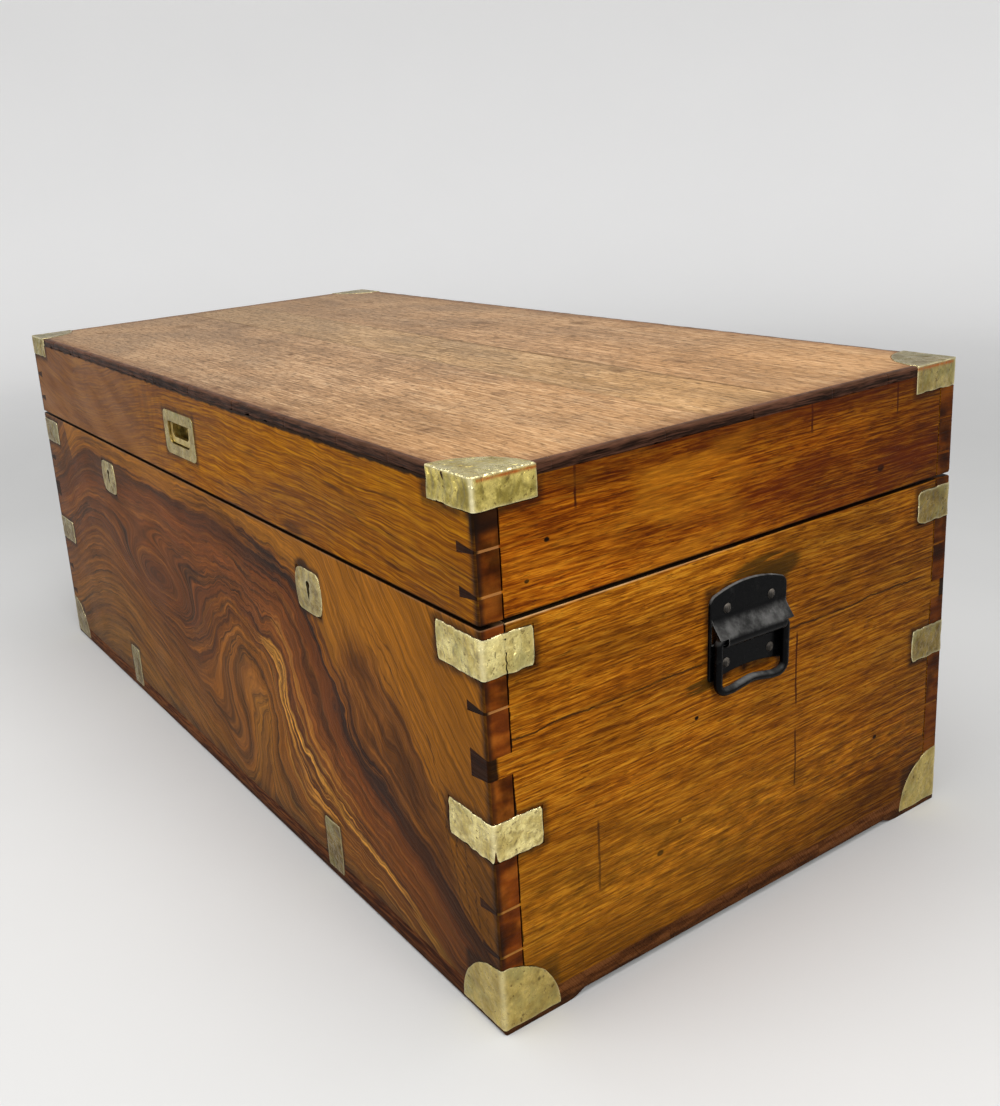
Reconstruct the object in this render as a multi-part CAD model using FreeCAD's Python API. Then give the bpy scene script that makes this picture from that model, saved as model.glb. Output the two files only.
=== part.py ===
import FreeCAD, Part
import math
import os
from FreeCAD import Vector

# Campaign chest: a dovetailed camphorwood trunk with let-in brasswork, two chest locks,
# a flush lifting handle on the lid and an iron drop handle on each end.
# Millimetres, +Z up. The origin is on the floor under the middle of the chest, the front faces -Y.

# Carcase
chest_length = 1055.0        # over the end boards
chest_depth = 528.0          # over the front and back boards
base_height = 312.0          # base boards, above the runners
lid_height = 96.0            # lid boards, under the top
lid_gap = 3.0                # open line between base and lid
front_thickness = 20.0       # front and back boards
end_thickness = 22.0         # end boards
arris_radius = 2.5           # worn upright corners
rim_radius = 1.2             # worn outer rim of the base
shoulder_gap = 1.2           # shrinkage line beside the tails
lid_open_angle = 100.0       # degrees, where the back bevels meet and stop the lid
stop_clearance = 1.0         # degrees left between the bevels at that stop

# Dovetails: heights of the pins above the lower edge of their boards
base_narrow_pins = (49.0, 87.0, 145.0, 249.0)
base_wide_pins = (204.0,)
lid_narrow_pins = (20.0, 53.0)
narrow_pin_root = 8.5
narrow_pin_tip = 2.0
wide_pin_root = 23.0
wide_pin_tip = 17.0

# Runners and bottom
runner_height = 20.0
runner_width = 78.0
runner_drop = 5.0            # how far the runners stand below the bottom planks
runner_edge_radius = 3.0
runner_toe = 18.0            # length of the curve at a runner's inner edge
bottom_plank_count = 4
plank_gap = 0.4

# Lid top
top_thickness = 9.0
moulding_width = 6.0
moulding_round = 3.5
front_plank_width = 223.0
middle_plank_width = 91.0

# Corner brasses and edge straps, let into the wood
brass_thickness = 1.5
brass_proud = 0.5
strap_height = 32.0
upper_strap_below_rim = 7.0
middle_strap_above_floor = 149.0
rear_middle_strap_rise = 9.0  # rear corners' middle straps sit higher than the front ones
strap_front_leg = 57.0
strap_end_leg = 46.0
bottom_cap_radius = 54.0
bottom_cap_above_floor = 4.0
lid_cap_radius = 55.0
lid_cap_drop = 25.0
edge_strap_width = 30.0
edge_strap_above_floor = 9.0
edge_strap_height = 51.0
edge_strap_from_end = 262.0

# Locks
lock_from_end = 261.0
lock_width = 92.0
lock_depth = 15.0
lock_wall = 2.0
lock_below_keyhole = 10.0
keyhole_bore = 5.4           # round top of the keyhole
keyhole_slot = 3.8           # slot for the key's bit, under it
keyhole_height = 18.0
keyhole_below_rim = 45.0     # to the middle of the keyhole
escutcheon_height = 41.0
escutcheon_end_width = 40.0  # across its flat top and bottom
escutcheon_middle_width = 49.0
bolt_height = 10.5
bolt_travel = 8.0
bolt_clearance = 0.3
talon_height = 3.5           # notch that the key drives
key_pocket_width = 28.0
staple_from_lock_end = 24.0
staple_thickness = 4.0
staple_width = 7.0
staple_drop = 17.0           # below the lid's edge
staple_bar = 2.5             # bottom bar of a staple
staple_leg = 1.7
staple_play = 2.0            # room round a staple in its slot
staple_over_bolt = 1.0
finger_play = 0.4            # each side of a finger in its staple
finger_height = 5.0
finger_post = 4.0
finger_reach = 9.0           # finger beyond its post
finger_start = 1.0           # finger tip to staple when unlocked
strike_thickness = 1.8

# Butt hinges
hinge_from_end = 250.0
hinge_length = 64.0
hinge_inset = 4.2            # axis in from the back face
leaf_width = 17.0
leaf_thickness = 1.8
barrel_radius = 4.0
barrel_room = 0.4
hinge_pin_radius = 2.0
hinge_pin_clearance = 0.05
knuckle_count = 5
knuckle_gap = 0.3

# Flush lifting handle in the lid
lift_plate_width = 81.0
lift_plate_height = 47.0
lift_plate_corner = 7.0
lift_plate_thickness = 2.0
lift_below_top = 56.5        # lid top to the middle of the plate
lift_mouth_width = 58.0
lift_mouth_height = 24.0
lift_mouth_round = 10.0
lift_mouth_top_round = 2.0
lift_cup_depth = 13.0
lift_cup_wall = 3.0
lift_cup_floor = 1.5
lift_bail_gap = 1.2
lift_bail_bar = 6.5
lift_bail_thickness = 4.0
lift_bail_sunk = 1.5         # bail face below the wood's face
lift_bail_end_round = 1.0
lift_bail_inner_round = 5.5
lift_pivot_below_mouth = 4.0
lift_trunnion_radius = 1.5
lift_trunnion_length = 2.0
lift_trunnion_clearance = 0.05

# Iron drop handles on the ends
handle_below_rim = 73.5      # rim to the bail's pivot
handle_forward = 2.5         # middle of the handle in front of the middle of the end
handle_tilt = 1.8            # degrees that the rear side of the handle hangs lower
handle_plate_width = 89.0
handle_plate_above = 43.7    # pivot to the crown of the plate
handle_plate_below = 36.7
handle_crown = 9.0           # rise of the arched top edge
handle_hollow = 6.2          # rise of the hollow lower edge
handle_corner_round = 9.0    # of the plate's upper corners
handle_foot_round = 3.0      # of the plate's lower corners
handle_edge_round = 1.2      # pressed edge of the sheet
handle_edge_flat = 0.4       # least of the sheet's thickness left square under it
handle_thickness = 2.3
handle_slope = 15.5          # where the swelling leaves the plate, above the pivot
handle_slope_bend = 12.0     # radius of the hollow bend there
swelling_inset = 2.0         # ends of the swelling in from the plate's edges
bail_radius = 3.6            # of the bail's rod
bail_room = 0.6              # round the rod inside the swelling
bail_plate_gap = 0.6
bail_from_plate_edge = 5.5   # to the middle of an arm
bail_drop = 45.0
bail_stub = 14.0             # turned-in ends
bail_top_bend = 5.0
bail_corner_bend = 9.0
bail_grip_rise = 4.0
bail_grip_half = 24.0
bail_grip_bend = 30.0
bail_open_angle = 75.0
bail_slot_room = 0.6
bail_bend_room = 1.2         # more of a slot on the side of the rod's bend
handle_screw_from_edge = 19.0
handle_screw_above = 23.8
handle_screw_below = 22.5
screw_shank_radius = 2.3
screw_hole_room = 0.4
screw_head_radius = 4.2
screw_head_height = 2.2
screw_slot = 1.0
screw_slot_depth = 1.1
screw_length = 15.0

# Places worked out from the sizes
half_length = chest_length / 2
half_depth = chest_depth / 2
base_floor = runner_height
rim = base_floor + base_height
lid_rim = rim + lid_gap
lid_deck = lid_rim + lid_height
lid_top = lid_deck + top_thickness
hinge_y = half_depth - hinge_inset
hinge_z = rim + lid_gap / 2
lock_height = keyhole_below_rim + keyhole_height / 2 + lock_below_keyhole
bolt_ledge = lid_rim - staple_drop - staple_over_bolt - bolt_height - bolt_clearance
bail_half_width = handle_plate_width / 2 - bail_from_plate_edge
over = 5.0                   # how far cutting tools run past what they cut
tolerance = 0.001            # lengths taken as nothing
SIDES = {"left": -1, "right": 1}
CORNERS = {"front_left": (-1, 1), "front_right": (1, 1), "back_left": (-1, -1), "back_right": (1, -1)}


def box(x0, x1, y0, y1, z0, z1):
    return Part.makeBox(x1 - x0, y1 - y0, z1 - z0, Vector(x0, y0, z0))


def rod(start, end, radius):
    return Part.makeCylinder(radius, (end - start).Length, start, end - start)


def line(start, end):
    return Part.LineSegment(start, end).toShape()


def arc(start, middle, end):
    return Part.Arc(start, middle, end).toShape()


def plate(points, depth):
    """A flat outline of corner points, given thickness along the vector depth."""
    return Part.Face(Part.makePolygon(points + points[:1])).extrude(depth)


def mirrored(shape, across_x, across_y):
    """The shape itself, or its reflection where a sign is negative."""
    if across_x < 0:
        shape = shape.mirror(Vector(0, 0, 0), Vector(1, 0, 0))
    if across_y < 0:
        shape = shape.mirror(Vector(0, 0, 0), Vector(0, 1, 0))
    return shape


def rounded_wire(corners):
    """Straight runs through the (point, radius) pairs, each corner turned by a tangent arc."""
    edges = []
    here = corners[0][0]
    for (before, _), (point, radius), (after, _) in zip(corners, corners[1:], corners[2:]):
        back = (before - point).normalize()
        ahead = (after - point).normalize()
        half_angle = back.getAngle(ahead) / 2
        reach = radius / math.tan(half_angle)
        middle = (back + ahead).normalize() * (radius / math.sin(half_angle) - radius)
        start, end = point + back * reach, point + ahead * reach
        edges.append(line(here, start))
        edges.append(arc(start, point + middle, end))
        here = end
    edges.append(line(here, corners[-1][0]))
    return Part.Wire(edges)


def rounded_outline(width, height, top_round, bottom_round, centre_z, y):
    """A closed upright rectangle facing -Y, with its own radius at the top and bottom corners."""
    w, h = width / 2, height / 2
    top, low = centre_z + h, centre_z - h
    return rounded_wire([
        (Vector(0, y, top), 0), (Vector(w, y, top), top_round), (Vector(w, y, low), bottom_round),
        (Vector(-w, y, low), bottom_round), (Vector(-w, y, top), top_round), (Vector(0, y, top), 0),
    ])


def chest_block(grow, z0, z1, edge_radius=0.0):
    """The chest's plan grown by a margin, with its rounded corners, and its top edge rounded on request."""
    block = box(-half_length - grow, half_length + grow, -half_depth - grow, half_depth + grow, z0, z1)
    upright = [e for e in block.Edges if abs(e.Vertexes[0].Z - e.Vertexes[-1].Z) > tolerance]
    block = block.makeFillet(arris_radius + grow, upright)
    if edge_radius > 0:
        block = block.makeFillet(edge_radius, [e for e in block.Edges if e.BoundBox.ZMin > z1 - tolerance])
    return block


def let_in(board, fittings):
    """The board with a pocket for every fitting that reaches into it."""
    reach = [f for f in fittings if board.BoundBox.intersect(f.BoundBox)]
    return board.cut(reach) if reach else board


def one_solid(shape):
    """The largest solid of a cut, clear of seams."""
    return max(shape.Solids, key=lambda s: s.Volume).removeSplitter()


# Corner brasses and straps

def corner_strap(z0, z1, front_leg, end_leg):
    """A strap bent round the front right corner, let in and a little proud."""
    outer = chest_block(brass_proud, z0, z1)
    inner = chest_block(brass_proud - brass_thickness, z0 - over, z1 + over)
    corner = box(
        half_length - front_leg, half_length + over, -half_depth - over, -half_depth + end_leg, z0, z1)
    return outer.cut(inner).common(corner)


def bottom_cap():
    """The foot brass: a strap cut to a quarter round on both faces."""
    low = bottom_cap_above_floor
    strap = corner_strap(low, low + bottom_cap_radius, bottom_cap_radius, bottom_cap_radius)
    front_round = rod(
        Vector(half_length, -half_depth - over, low),
        Vector(half_length, -half_depth + bottom_cap_radius + over, low), bottom_cap_radius)
    end_round = rod(
        Vector(half_length - bottom_cap_radius - over, -half_depth, low),
        Vector(half_length + over, -half_depth, low), bottom_cap_radius)
    return strap.common(front_round).common(end_round)


def lid_cap():
    """The lid's corner cap: two side flanges and a quarter round top, in one sheet."""
    low, top = lid_top - lid_cap_drop, lid_top + brass_proud
    sunk = brass_proud - brass_thickness
    outer = chest_block(brass_proud, low, top, arris_radius + brass_proud)
    inner = chest_block(sunk, low - over, top - brass_thickness, arris_radius + sunk)
    round_plan = rod(
        Vector(half_length, -half_depth, low - over),
        Vector(half_length, -half_depth, top + over), lid_cap_radius)
    return outer.cut(inner).common(round_plan)


def edge_strap(side):
    """A flat strap that ties the front runner to the front board."""
    middle = side * (half_length - edge_strap_from_end)
    face = -half_depth - brass_proud
    low = edge_strap_above_floor
    return box(
        middle - edge_strap_width / 2, middle + edge_strap_width / 2,
        face, face + brass_thickness, low, low + edge_strap_height)


# Locks

def lock_x(side):
    return side * (half_length - lock_from_end)


def lock_back():
    """The inner face of the front board, which the lock lies flush with."""
    return -half_depth + front_thickness


def keyhole(side):
    """The way in for the key, a round bore over a slot, through plate, board and lock case."""
    x, z = lock_x(side), rim - keyhole_below_rim
    radius, half = keyhole_bore / 2, keyhole_height / 2
    y0, y1 = -half_depth - over, lock_back() - lock_depth + lock_wall + bolt_clearance
    bore_z = z + half - radius
    slot = box(x - keyhole_slot / 2, x + keyhole_slot / 2, y0, y1, z - half, bore_z)
    return slot.fuse(rod(Vector(x, y0, bore_z), Vector(x, y1, bore_z), radius))


def escutcheon(side):
    """The keyhole plate: flat top and bottom, bowed sides."""
    x, z, y = lock_x(side), rim - keyhole_below_rim, -half_depth - brass_proud
    end, middle, half = escutcheon_end_width / 2, escutcheon_middle_width / 2, escutcheon_height / 2
    wire = Part.Wire([
        line(Vector(x - end, y, z + half), Vector(x + end, y, z + half)),
        arc(Vector(x + end, y, z + half), Vector(x + middle, y, z), Vector(x + end, y, z - half)),
        line(Vector(x + end, y, z - half), Vector(x - end, y, z - half)),
        arc(Vector(x - end, y, z - half), Vector(x - middle, y, z), Vector(x - end, y, z + half)),
    ])
    return Part.Face(wire).extrude(Vector(0, brass_thickness, 0))


def lock_envelope(side):
    x, half = lock_x(side), lock_width / 2
    return box(x - half, x + half, lock_back() - lock_depth, lock_back(), rim - lock_height, rim)


def staple_places(side):
    return [lock_x(side) + s * (lock_width / 2 - staple_from_lock_end) for s in (-1, 1)]


def staple_middle_y():
    return lock_back() - lock_depth / 2


def lock_case(side):
    """The chest lock's case: a bolt chamber, a pocket for the key and two slots for the lid's staples."""
    x = lock_x(side)
    y0, y1 = lock_back() - lock_depth + lock_wall, lock_back() - lock_wall
    roof = rim - lock_wall
    half = lock_width / 2 - lock_wall
    chamber = box(x - half, x + half, y0, y1, bolt_ledge, roof)
    pocket = box(
        x - key_pocket_width / 2, x + key_pocket_width / 2, y0, y1, rim - lock_height + lock_wall, roof)
    play = staple_play
    slots = [
        box(s - staple_thickness / 2 - play, s + staple_thickness / 2 + play,
            staple_middle_y() - staple_width / 2 - play, staple_middle_y() + staple_width / 2 + play,
            roof - over, rim + over)
        for s in staple_places(side)]
    return lock_envelope(side).cut([chamber, pocket, keyhole(side), *slots])


def lock_bolt(side):
    """The sliding bolt: a bar on the case's ledge, with two fingers that enter the staples."""
    y0, y1 = lock_back() - lock_depth + lock_wall + bolt_clearance, lock_back() - lock_wall - bolt_clearance
    low = bolt_ledge + bolt_clearance
    finger_width = staple_width - 2 * staple_leg - 2 * finger_play
    finger_low = lid_rim - staple_drop + staple_bar + bolt_clearance
    finger_y = staple_middle_y() - finger_width / 2
    tips = [s - staple_thickness / 2 - finger_start for s in staple_places(side)]
    back_of_post = finger_reach + finger_post
    bar = box(tips[0] - back_of_post, tips[1], y0, y1, low, low + bolt_height)
    pieces = []
    for tip in tips:
        pieces.append(box(tip - back_of_post, tip - finger_reach, finger_y, finger_y + finger_width,
                          low, finger_low + finger_height))
        pieces.append(box(tip - back_of_post, tip, finger_y, finger_y + finger_width,
                          finger_low, finger_low + finger_height))
    talon_x = (tips[0] - back_of_post + tips[1]) / 2
    talon = box(talon_x - bolt_travel / 2, talon_x + bolt_travel / 2, y0 - over, y1 + over,
                low - over, low + talon_height)
    return bar.fuse(pieces).cut(talon)


def lock_strike(side):
    """The lid's plate with the two staples that the bolt locks."""
    x, y = lock_x(side), staple_middle_y()
    strike = box(x - lock_width / 2, x + lock_width / 2, lock_back() - lock_depth, lock_back(),
                 lid_rim, lid_rim + strike_thickness)
    thick, wide = staple_thickness / 2, staple_width / 2
    low = lid_rim - staple_drop
    pieces = []
    for s in staple_places(side):
        loop = box(s - thick, s + thick, y - wide, y + wide, low, lid_rim)
        window = box(s - over, s + over, y - wide + staple_leg, y + wide - staple_leg,
                     low + staple_bar, lid_rim - staple_leg)
        pieces.append(loop.cut(window))
    return strike.fuse(pieces)


# Hinges

def knuckle_spans(side):
    """The (start, end) of each knuckle along a hinge, base and lid in turn."""
    start = side * (half_length - hinge_from_end) - hinge_length / 2
    pitch = hinge_length / knuckle_count
    return [(start + i * pitch + knuckle_gap / 2, start + (i + 1) * pitch - knuckle_gap / 2)
            for i in range(knuckle_count)]


def hinge_leaf(side, upward):
    """One leaf: a plate let into a board's edge, and every other knuckle of the barrel."""
    z0 = lid_rim if upward else rim - leaf_thickness
    spans = knuckle_spans(side)
    own = spans[1::2] if upward else spans[0::2]
    front = hinge_y - leaf_width
    leaf = box(spans[0][0], spans[-1][1], front, hinge_y - barrel_radius - barrel_room,
               z0, z0 + leaf_thickness)
    pieces = []
    for x0, x1 in own:
        pieces.append(rod(Vector(x0, hinge_y, hinge_z), Vector(x1, hinge_y, hinge_z), barrel_radius))
        pieces.append(box(x0, x1, front, hinge_y - hinge_pin_radius, z0, z0 + leaf_thickness))
    bore = rod(Vector(spans[0][0] - over, hinge_y, hinge_z), Vector(spans[-1][1] + over, hinge_y, hinge_z),
               hinge_pin_radius + hinge_pin_clearance)
    return leaf.fuse(pieces).cut(bore)


def hinge_pin(side):
    spans = knuckle_spans(side)
    start, end = Vector(spans[0][0], hinge_y, hinge_z), Vector(spans[-1][1], hinge_y, hinge_z)
    return rod(start, end, hinge_pin_radius)


def hinge_notch(side):
    """Room for the barrel in both back boards."""
    spans = knuckle_spans(side)
    return rod(Vector(spans[0][0] - barrel_room, hinge_y, hinge_z),
               Vector(spans[-1][1] + barrel_room, hinge_y, hinge_z), barrel_radius + barrel_room)


def back_bevel(upward):
    """The wedge taken off a back board's outer edge, from the hinge line outwards, which stops the lid."""
    angle = math.radians((lid_open_angle + stop_clearance) / 2)
    reach = hinge_inset + over
    rise = reach * math.tan(angle) * (1 if upward else -1)
    x = -half_length - over
    return plate([
        Vector(x, hinge_y, hinge_z), Vector(x, hinge_y + reach, hinge_z),
        Vector(x, hinge_y + reach, hinge_z + rise),
    ], Vector(chest_length + 2 * over, 0, 0))


# Dovetailed boards

def dovetail_pin(height, root, tip):
    """A pin of the right end board at its front corner: widest at the root, narrow at the corner."""
    y = -half_depth
    inner = half_length - end_thickness
    return plate([
        Vector(inner, y, height - root / 2), Vector(half_length, y, height - tip / 2),
        Vector(half_length, y, height + tip / 2), Vector(inner, y, height + root / 2),
    ], Vector(0, front_thickness + shoulder_gap, 0))


def dovetail_pins(narrow, wide, floor, height):
    """All the pins of one corner that fit on boards of this height."""
    kinds = [(h, narrow_pin_root, narrow_pin_tip) for h in narrow]
    kinds += [(h, wide_pin_root, wide_pin_tip) for h in wide]
    return [dovetail_pin(floor + h, root, tip) for h, root, tip in kinds if h + root / 2 < height]


def tail_board(z0, z1, envelope, pins):
    """A front board: full length, with sockets for the pins at both ends."""
    inner = -half_depth + front_thickness
    board = box(-half_length, half_length, -half_depth, inner, z0, z1).common(envelope)
    return board.cut(pins + [mirrored(p, -1, 1) for p in pins])


def pin_board(z0, z1, envelope, pins):
    """A right end board: set between the front and back, with pins through both."""
    shoulder = half_depth - front_thickness - shoulder_gap
    board = box(half_length - end_thickness, half_length, -shoulder, shoulder, z0, z1)
    return board.fuse(pins + [mirrored(p, 1, -1) for p in pins]).common(envelope)


# Runners, bottom and lid top

def runner():
    """The front runner: rounded along its outer edge, curved up to the planks along its inner edge."""
    y0, y1, x = -half_depth, -half_depth + runner_width, -half_length
    r, toe = runner_edge_radius, runner_toe
    toe_radius = (toe ** 2 + runner_drop ** 2) / (2 * runner_drop)
    toe_turn = math.asin(toe / toe_radius) / 2
    mid_toe = Vector(x, y1 - toe + toe_radius * math.sin(toe_turn), toe_radius * (1 - math.cos(toe_turn)))
    half_root = r * (1 - math.sqrt(0.5))
    wire = Part.Wire([
        line(Vector(x, y0, runner_height), Vector(x, y0, r)),
        arc(Vector(x, y0, r), Vector(x, y0 + half_root, half_root), Vector(x, y0 + r, 0)),
        line(Vector(x, y0 + r, 0), Vector(x, y1 - toe, 0)),
        arc(Vector(x, y1 - toe, 0), mid_toe, Vector(x, y1, runner_drop)),
        line(Vector(x, y1, runner_drop), Vector(x, y1, runner_height)),
        line(Vector(x, y1, runner_height), Vector(x, y0, runner_height)),
    ])
    return Part.Face(wire).extrude(Vector(chest_length, 0, 0)).common(chest_block(0, 0, runner_height))


def bottom_plank(index):
    """One of the planks nailed up under the end boards, between the runners."""
    width = (chest_depth - 2 * runner_width) / bottom_plank_count
    y0 = -half_depth + runner_width + index * width
    shrink = plank_gap / 2
    return box(-half_length, half_length, y0 + shrink, y0 + width - shrink, runner_drop, runner_height)


def lid_moulding(edge):
    """One mitred strip of the dark edging round the lid's top."""
    ring = chest_block(0, lid_deck, lid_top, moulding_round).cut(box(
        -half_length + moulding_width, half_length - moulding_width,
        -half_depth + moulding_width, half_depth - moulding_width, lid_deck - over, lid_top + over))
    m, x, y, z = moulding_width, half_length, half_depth, lid_deck
    mitres = {
        "front": [(-x, -y), (x, -y), (x - m, -y + m), (-x + m, -y + m)],
        "back": [(-x, y), (x, y), (x - m, y - m), (-x + m, y - m)],
        "left": [(-x, -y), (-x, y), (-x + m, y - m), (-x + m, -y + m)],
        "right": [(x, -y), (x, y), (x - m, y - m), (x - m, -y + m)],
    }
    outline = [Vector(a, b, z) for a, b in mitres[edge]]
    return ring.common(plate(outline, Vector(0, 0, top_thickness)))


def lid_plank(y0, y1):
    reach = half_length - moulding_width
    return box(-reach, reach, y0, y1, lid_deck, lid_top)


# Flush lifting handle

def lift_z():
    return lid_top - lift_below_top


def lift_pivot():
    z = lift_z() + lift_mouth_height / 2 - lift_pivot_below_mouth
    return Vector(0, -half_depth + lift_bail_sunk + lift_bail_thickness / 2, z)


def lift_trunnions(grow, length):
    """The two pivot stubs on the bail, or their holes when grown."""
    pivot = lift_pivot()
    inner = lift_mouth_width / 2 - lift_bail_gap - lift_bail_bar / 2
    outer = lift_mouth_width / 2 + length
    radius = lift_trunnion_radius + grow
    return [rod(pivot + Vector(s * inner, 0, 0), pivot + Vector(s * outer, 0, 0), radius) for s in (-1, 1)]


def lift_pan():
    """The brass pan: a face plate with a D-shaped mouth, and a cup let into the board behind it."""
    face = -half_depth - brass_proud
    z = lift_z()
    cup_back = -half_depth + lift_cup_depth
    outline = rounded_outline(
        lift_plate_width, lift_plate_height, lift_plate_corner, lift_plate_corner, z, face)
    mouth = rounded_outline(
        lift_mouth_width, lift_mouth_height, lift_mouth_top_round, lift_mouth_round, z, face)
    cup = rounded_outline(
        lift_mouth_width + 2 * lift_cup_wall, lift_mouth_height + 2 * lift_cup_wall,
        lift_mouth_top_round + lift_cup_wall, lift_mouth_round + lift_cup_wall, z, face)
    body = Part.Face(outline).extrude(Vector(0, lift_plate_thickness, 0))
    body = body.fuse(Part.Face(cup).extrude(Vector(0, cup_back - face, 0)))
    body = body.cut(Part.Face(mouth).extrude(Vector(0, cup_back - lift_cup_floor - face, 0)))
    holes = lift_trunnions(lift_trunnion_clearance, lift_trunnion_length + lift_trunnion_clearance)
    return body.cut(holes)


def lift_bail():
    """The drop bail: a U of flat bar on two trunnions, which hangs inside the mouth."""
    y = -half_depth + lift_bail_sunk
    gap, bar = lift_bail_gap, lift_bail_bar
    pivot = lift_pivot()
    width = lift_mouth_width - 2 * gap
    low = lift_z() - lift_mouth_height / 2 + gap
    high = pivot.z + lift_bail_thickness / 2
    middle = (high + low) / 2
    outer = rounded_outline(width, high - low, lift_bail_end_round, lift_mouth_round - gap, middle, y)
    opening = rounded_outline(
        width - 2 * bar, high - low, lift_bail_end_round, lift_bail_inner_round, middle + bar, y - over)
    body = Part.Face(outer).extrude(Vector(0, lift_bail_thickness, 0))
    body = body.cut(Part.Face(opening).extrude(Vector(0, lift_bail_thickness + 2 * over, 0)))
    return body.fuse(lift_trunnions(0, lift_trunnion_length - lift_trunnion_clearance))


# Iron drop handles, made for the right end

def bail_pivot():
    x = half_length + handle_thickness + bail_plate_gap + bail_radius
    return Vector(x, -handle_forward, rim - handle_below_rim)


def swelling(radius, head):
    """A bar along the plate. Its section runs down the (point, radius) pairs of head to the slope,
    goes round the pivot at this radius, and comes back to the wood."""
    pivot = bail_pivot()
    half = handle_plate_width / 2 - swelling_inset
    slope_start = head[-1][0]
    out = slope_start - pivot
    tangent = math.atan2(out.z, out.x) - math.acos(radius / out.Length)

    def on_circle(angle):
        return pivot + Vector(radius * math.cos(angle), 0, radius * math.sin(angle))

    bottom_angle = -math.pi / 2
    bottom, back_low = on_circle(bottom_angle), Vector(half_length, pivot.y, pivot.z - radius)
    back_top = Vector(half_length, pivot.y, head[0][0].z)
    slope = rounded_wire(head + [(on_circle(tangent), 0)])
    closing = [
        arc(on_circle(tangent), on_circle((tangent + bottom_angle) / 2), bottom),
        line(bottom, back_low), line(back_low, back_top),
    ]
    if (back_top - head[0][0]).Length > tolerance:
        closing.append(line(back_top, head[0][0]))
    section = Part.Face(Part.Wire(slope.Edges + closing))
    section.translate(Vector(0, -half, 0))
    return section.extrude(Vector(0, 2 * half, 0))


def handle_screw_places():
    pivot = bail_pivot()
    half = handle_plate_width / 2 - handle_screw_from_edge
    heights = (pivot.z + handle_screw_above, pivot.z - handle_screw_below)
    return [(pivot.y + y, z) for y in (-half, half) for z in heights]


def handle_sheet():
    """The flat of the plate: arched top, hollow foot, rounded corners and a pressed round edge."""
    x, middle, pivot_z = half_length, -handle_forward, bail_pivot().z
    half = handle_plate_width / 2
    top, foot = pivot_z + handle_plate_above, pivot_z - handle_plate_below
    corner = top - handle_crown
    left, right = middle - half, middle + half
    outline = Part.Wire([
        arc(Vector(x, left, corner), Vector(x, middle, top), Vector(x, right, corner)),
        line(Vector(x, right, corner), Vector(x, right, foot)),
        arc(Vector(x, right, foot), Vector(x, middle, foot + handle_hollow), Vector(x, left, foot)),
        line(Vector(x, left, foot), Vector(x, left, corner)),
    ])
    sheet = Part.Face(outline).extrude(Vector(handle_thickness, 0, 0))
    for height, radius in ((corner, handle_corner_round), (foot, handle_foot_round)):
        boxes = [(e, e.BoundBox) for e in sheet.Edges]
        level = [e for e, box in boxes if abs(box.ZMin - height) + abs(box.ZMax - height) < tolerance]
        sheet = sheet.makeFillet(radius, level)
    outer = [e for e in sheet.Edges if e.BoundBox.XMin > half_length + handle_thickness - tolerance]
    return sheet.makeFillet(min(handle_edge_round, handle_thickness - handle_edge_flat), outer)


def handle_plate():
    """Pressed iron plate: its flat, and a swelling across it that holds the bail's turned-in ends."""
    pivot = bail_pivot()
    face = half_length + handle_thickness
    foot_of_slope = Vector(face, pivot.y, pivot.z + handle_slope)
    above = foot_of_slope + Vector(0, 0, handle_slope_bend)
    inner_start = foot_of_slope - Vector(handle_thickness, 0, 0)
    inner_radius = bail_radius + bail_room
    outer = swelling(inner_radius + handle_thickness, [(above, 0), (foot_of_slope, handle_slope_bend)])
    hollow = swelling(inner_radius, [(inner_start, 0)])
    hole_radius = screw_shank_radius + screw_hole_room
    holes = [rod(Vector(half_length - over, y, z), Vector(face + over, y, z), hole_radius)
             for y, z in handle_screw_places()]
    return handle_sheet().fuse(outer).cut([hollow, *bail_slots(face), *holes]).removeSplitter()


def bail_slots(face):
    """The two slots, open at the swelling's ends, that the bail's arms swing through."""
    pivot = bail_pivot()
    room = bail_radius + bail_slot_room
    lean = math.radians(90 - bail_open_angle)
    reach = room + handle_slope
    slots = []
    for sign in (-1, 1):
        y0 = pivot.y + sign * (handle_plate_width / 2 + over)
        y1 = pivot.y + sign * (bail_half_width - room - bail_bend_room)
        slots.append(plate([
            Vector(face, y0, pivot.z), Vector(face, y0, pivot.z - reach),
            Vector(pivot.x + reach, y0, pivot.z - reach),
            Vector(pivot.x + reach, y0, pivot.z + room / math.cos(lean) - reach * math.tan(lean)),
            Vector(pivot.x, y0, pivot.z + room / math.cos(lean)),
        ], Vector(0, y1 - y0, 0)))
    return slots


def handle_bail():
    """The bail: round rod with turned-in ends, square shoulders and a grip that rises in the middle."""
    pivot = bail_pivot()

    def at(y, z):
        return pivot + Vector(0, y, z)

    w, d, g = bail_half_width, -bail_drop, bail_grip_half
    inner = w - bail_stub
    path = rounded_wire([
        (at(-inner, 0), 0), (at(-w, 0), bail_top_bend), (at(-w, d), bail_corner_bend),
        (at(-g, d), bail_grip_bend), (at(0, d + bail_grip_rise), bail_grip_bend),
        (at(g, d), bail_grip_bend), (at(w, d), bail_corner_bend),
        (at(w, 0), bail_top_bend), (at(inner, 0), 0),
    ])
    section = Part.Wire(Part.makeCircle(bail_radius, at(-inner, 0), Vector(0, -1, 0)))
    return path.makePipeShell([section], True, True)


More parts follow.
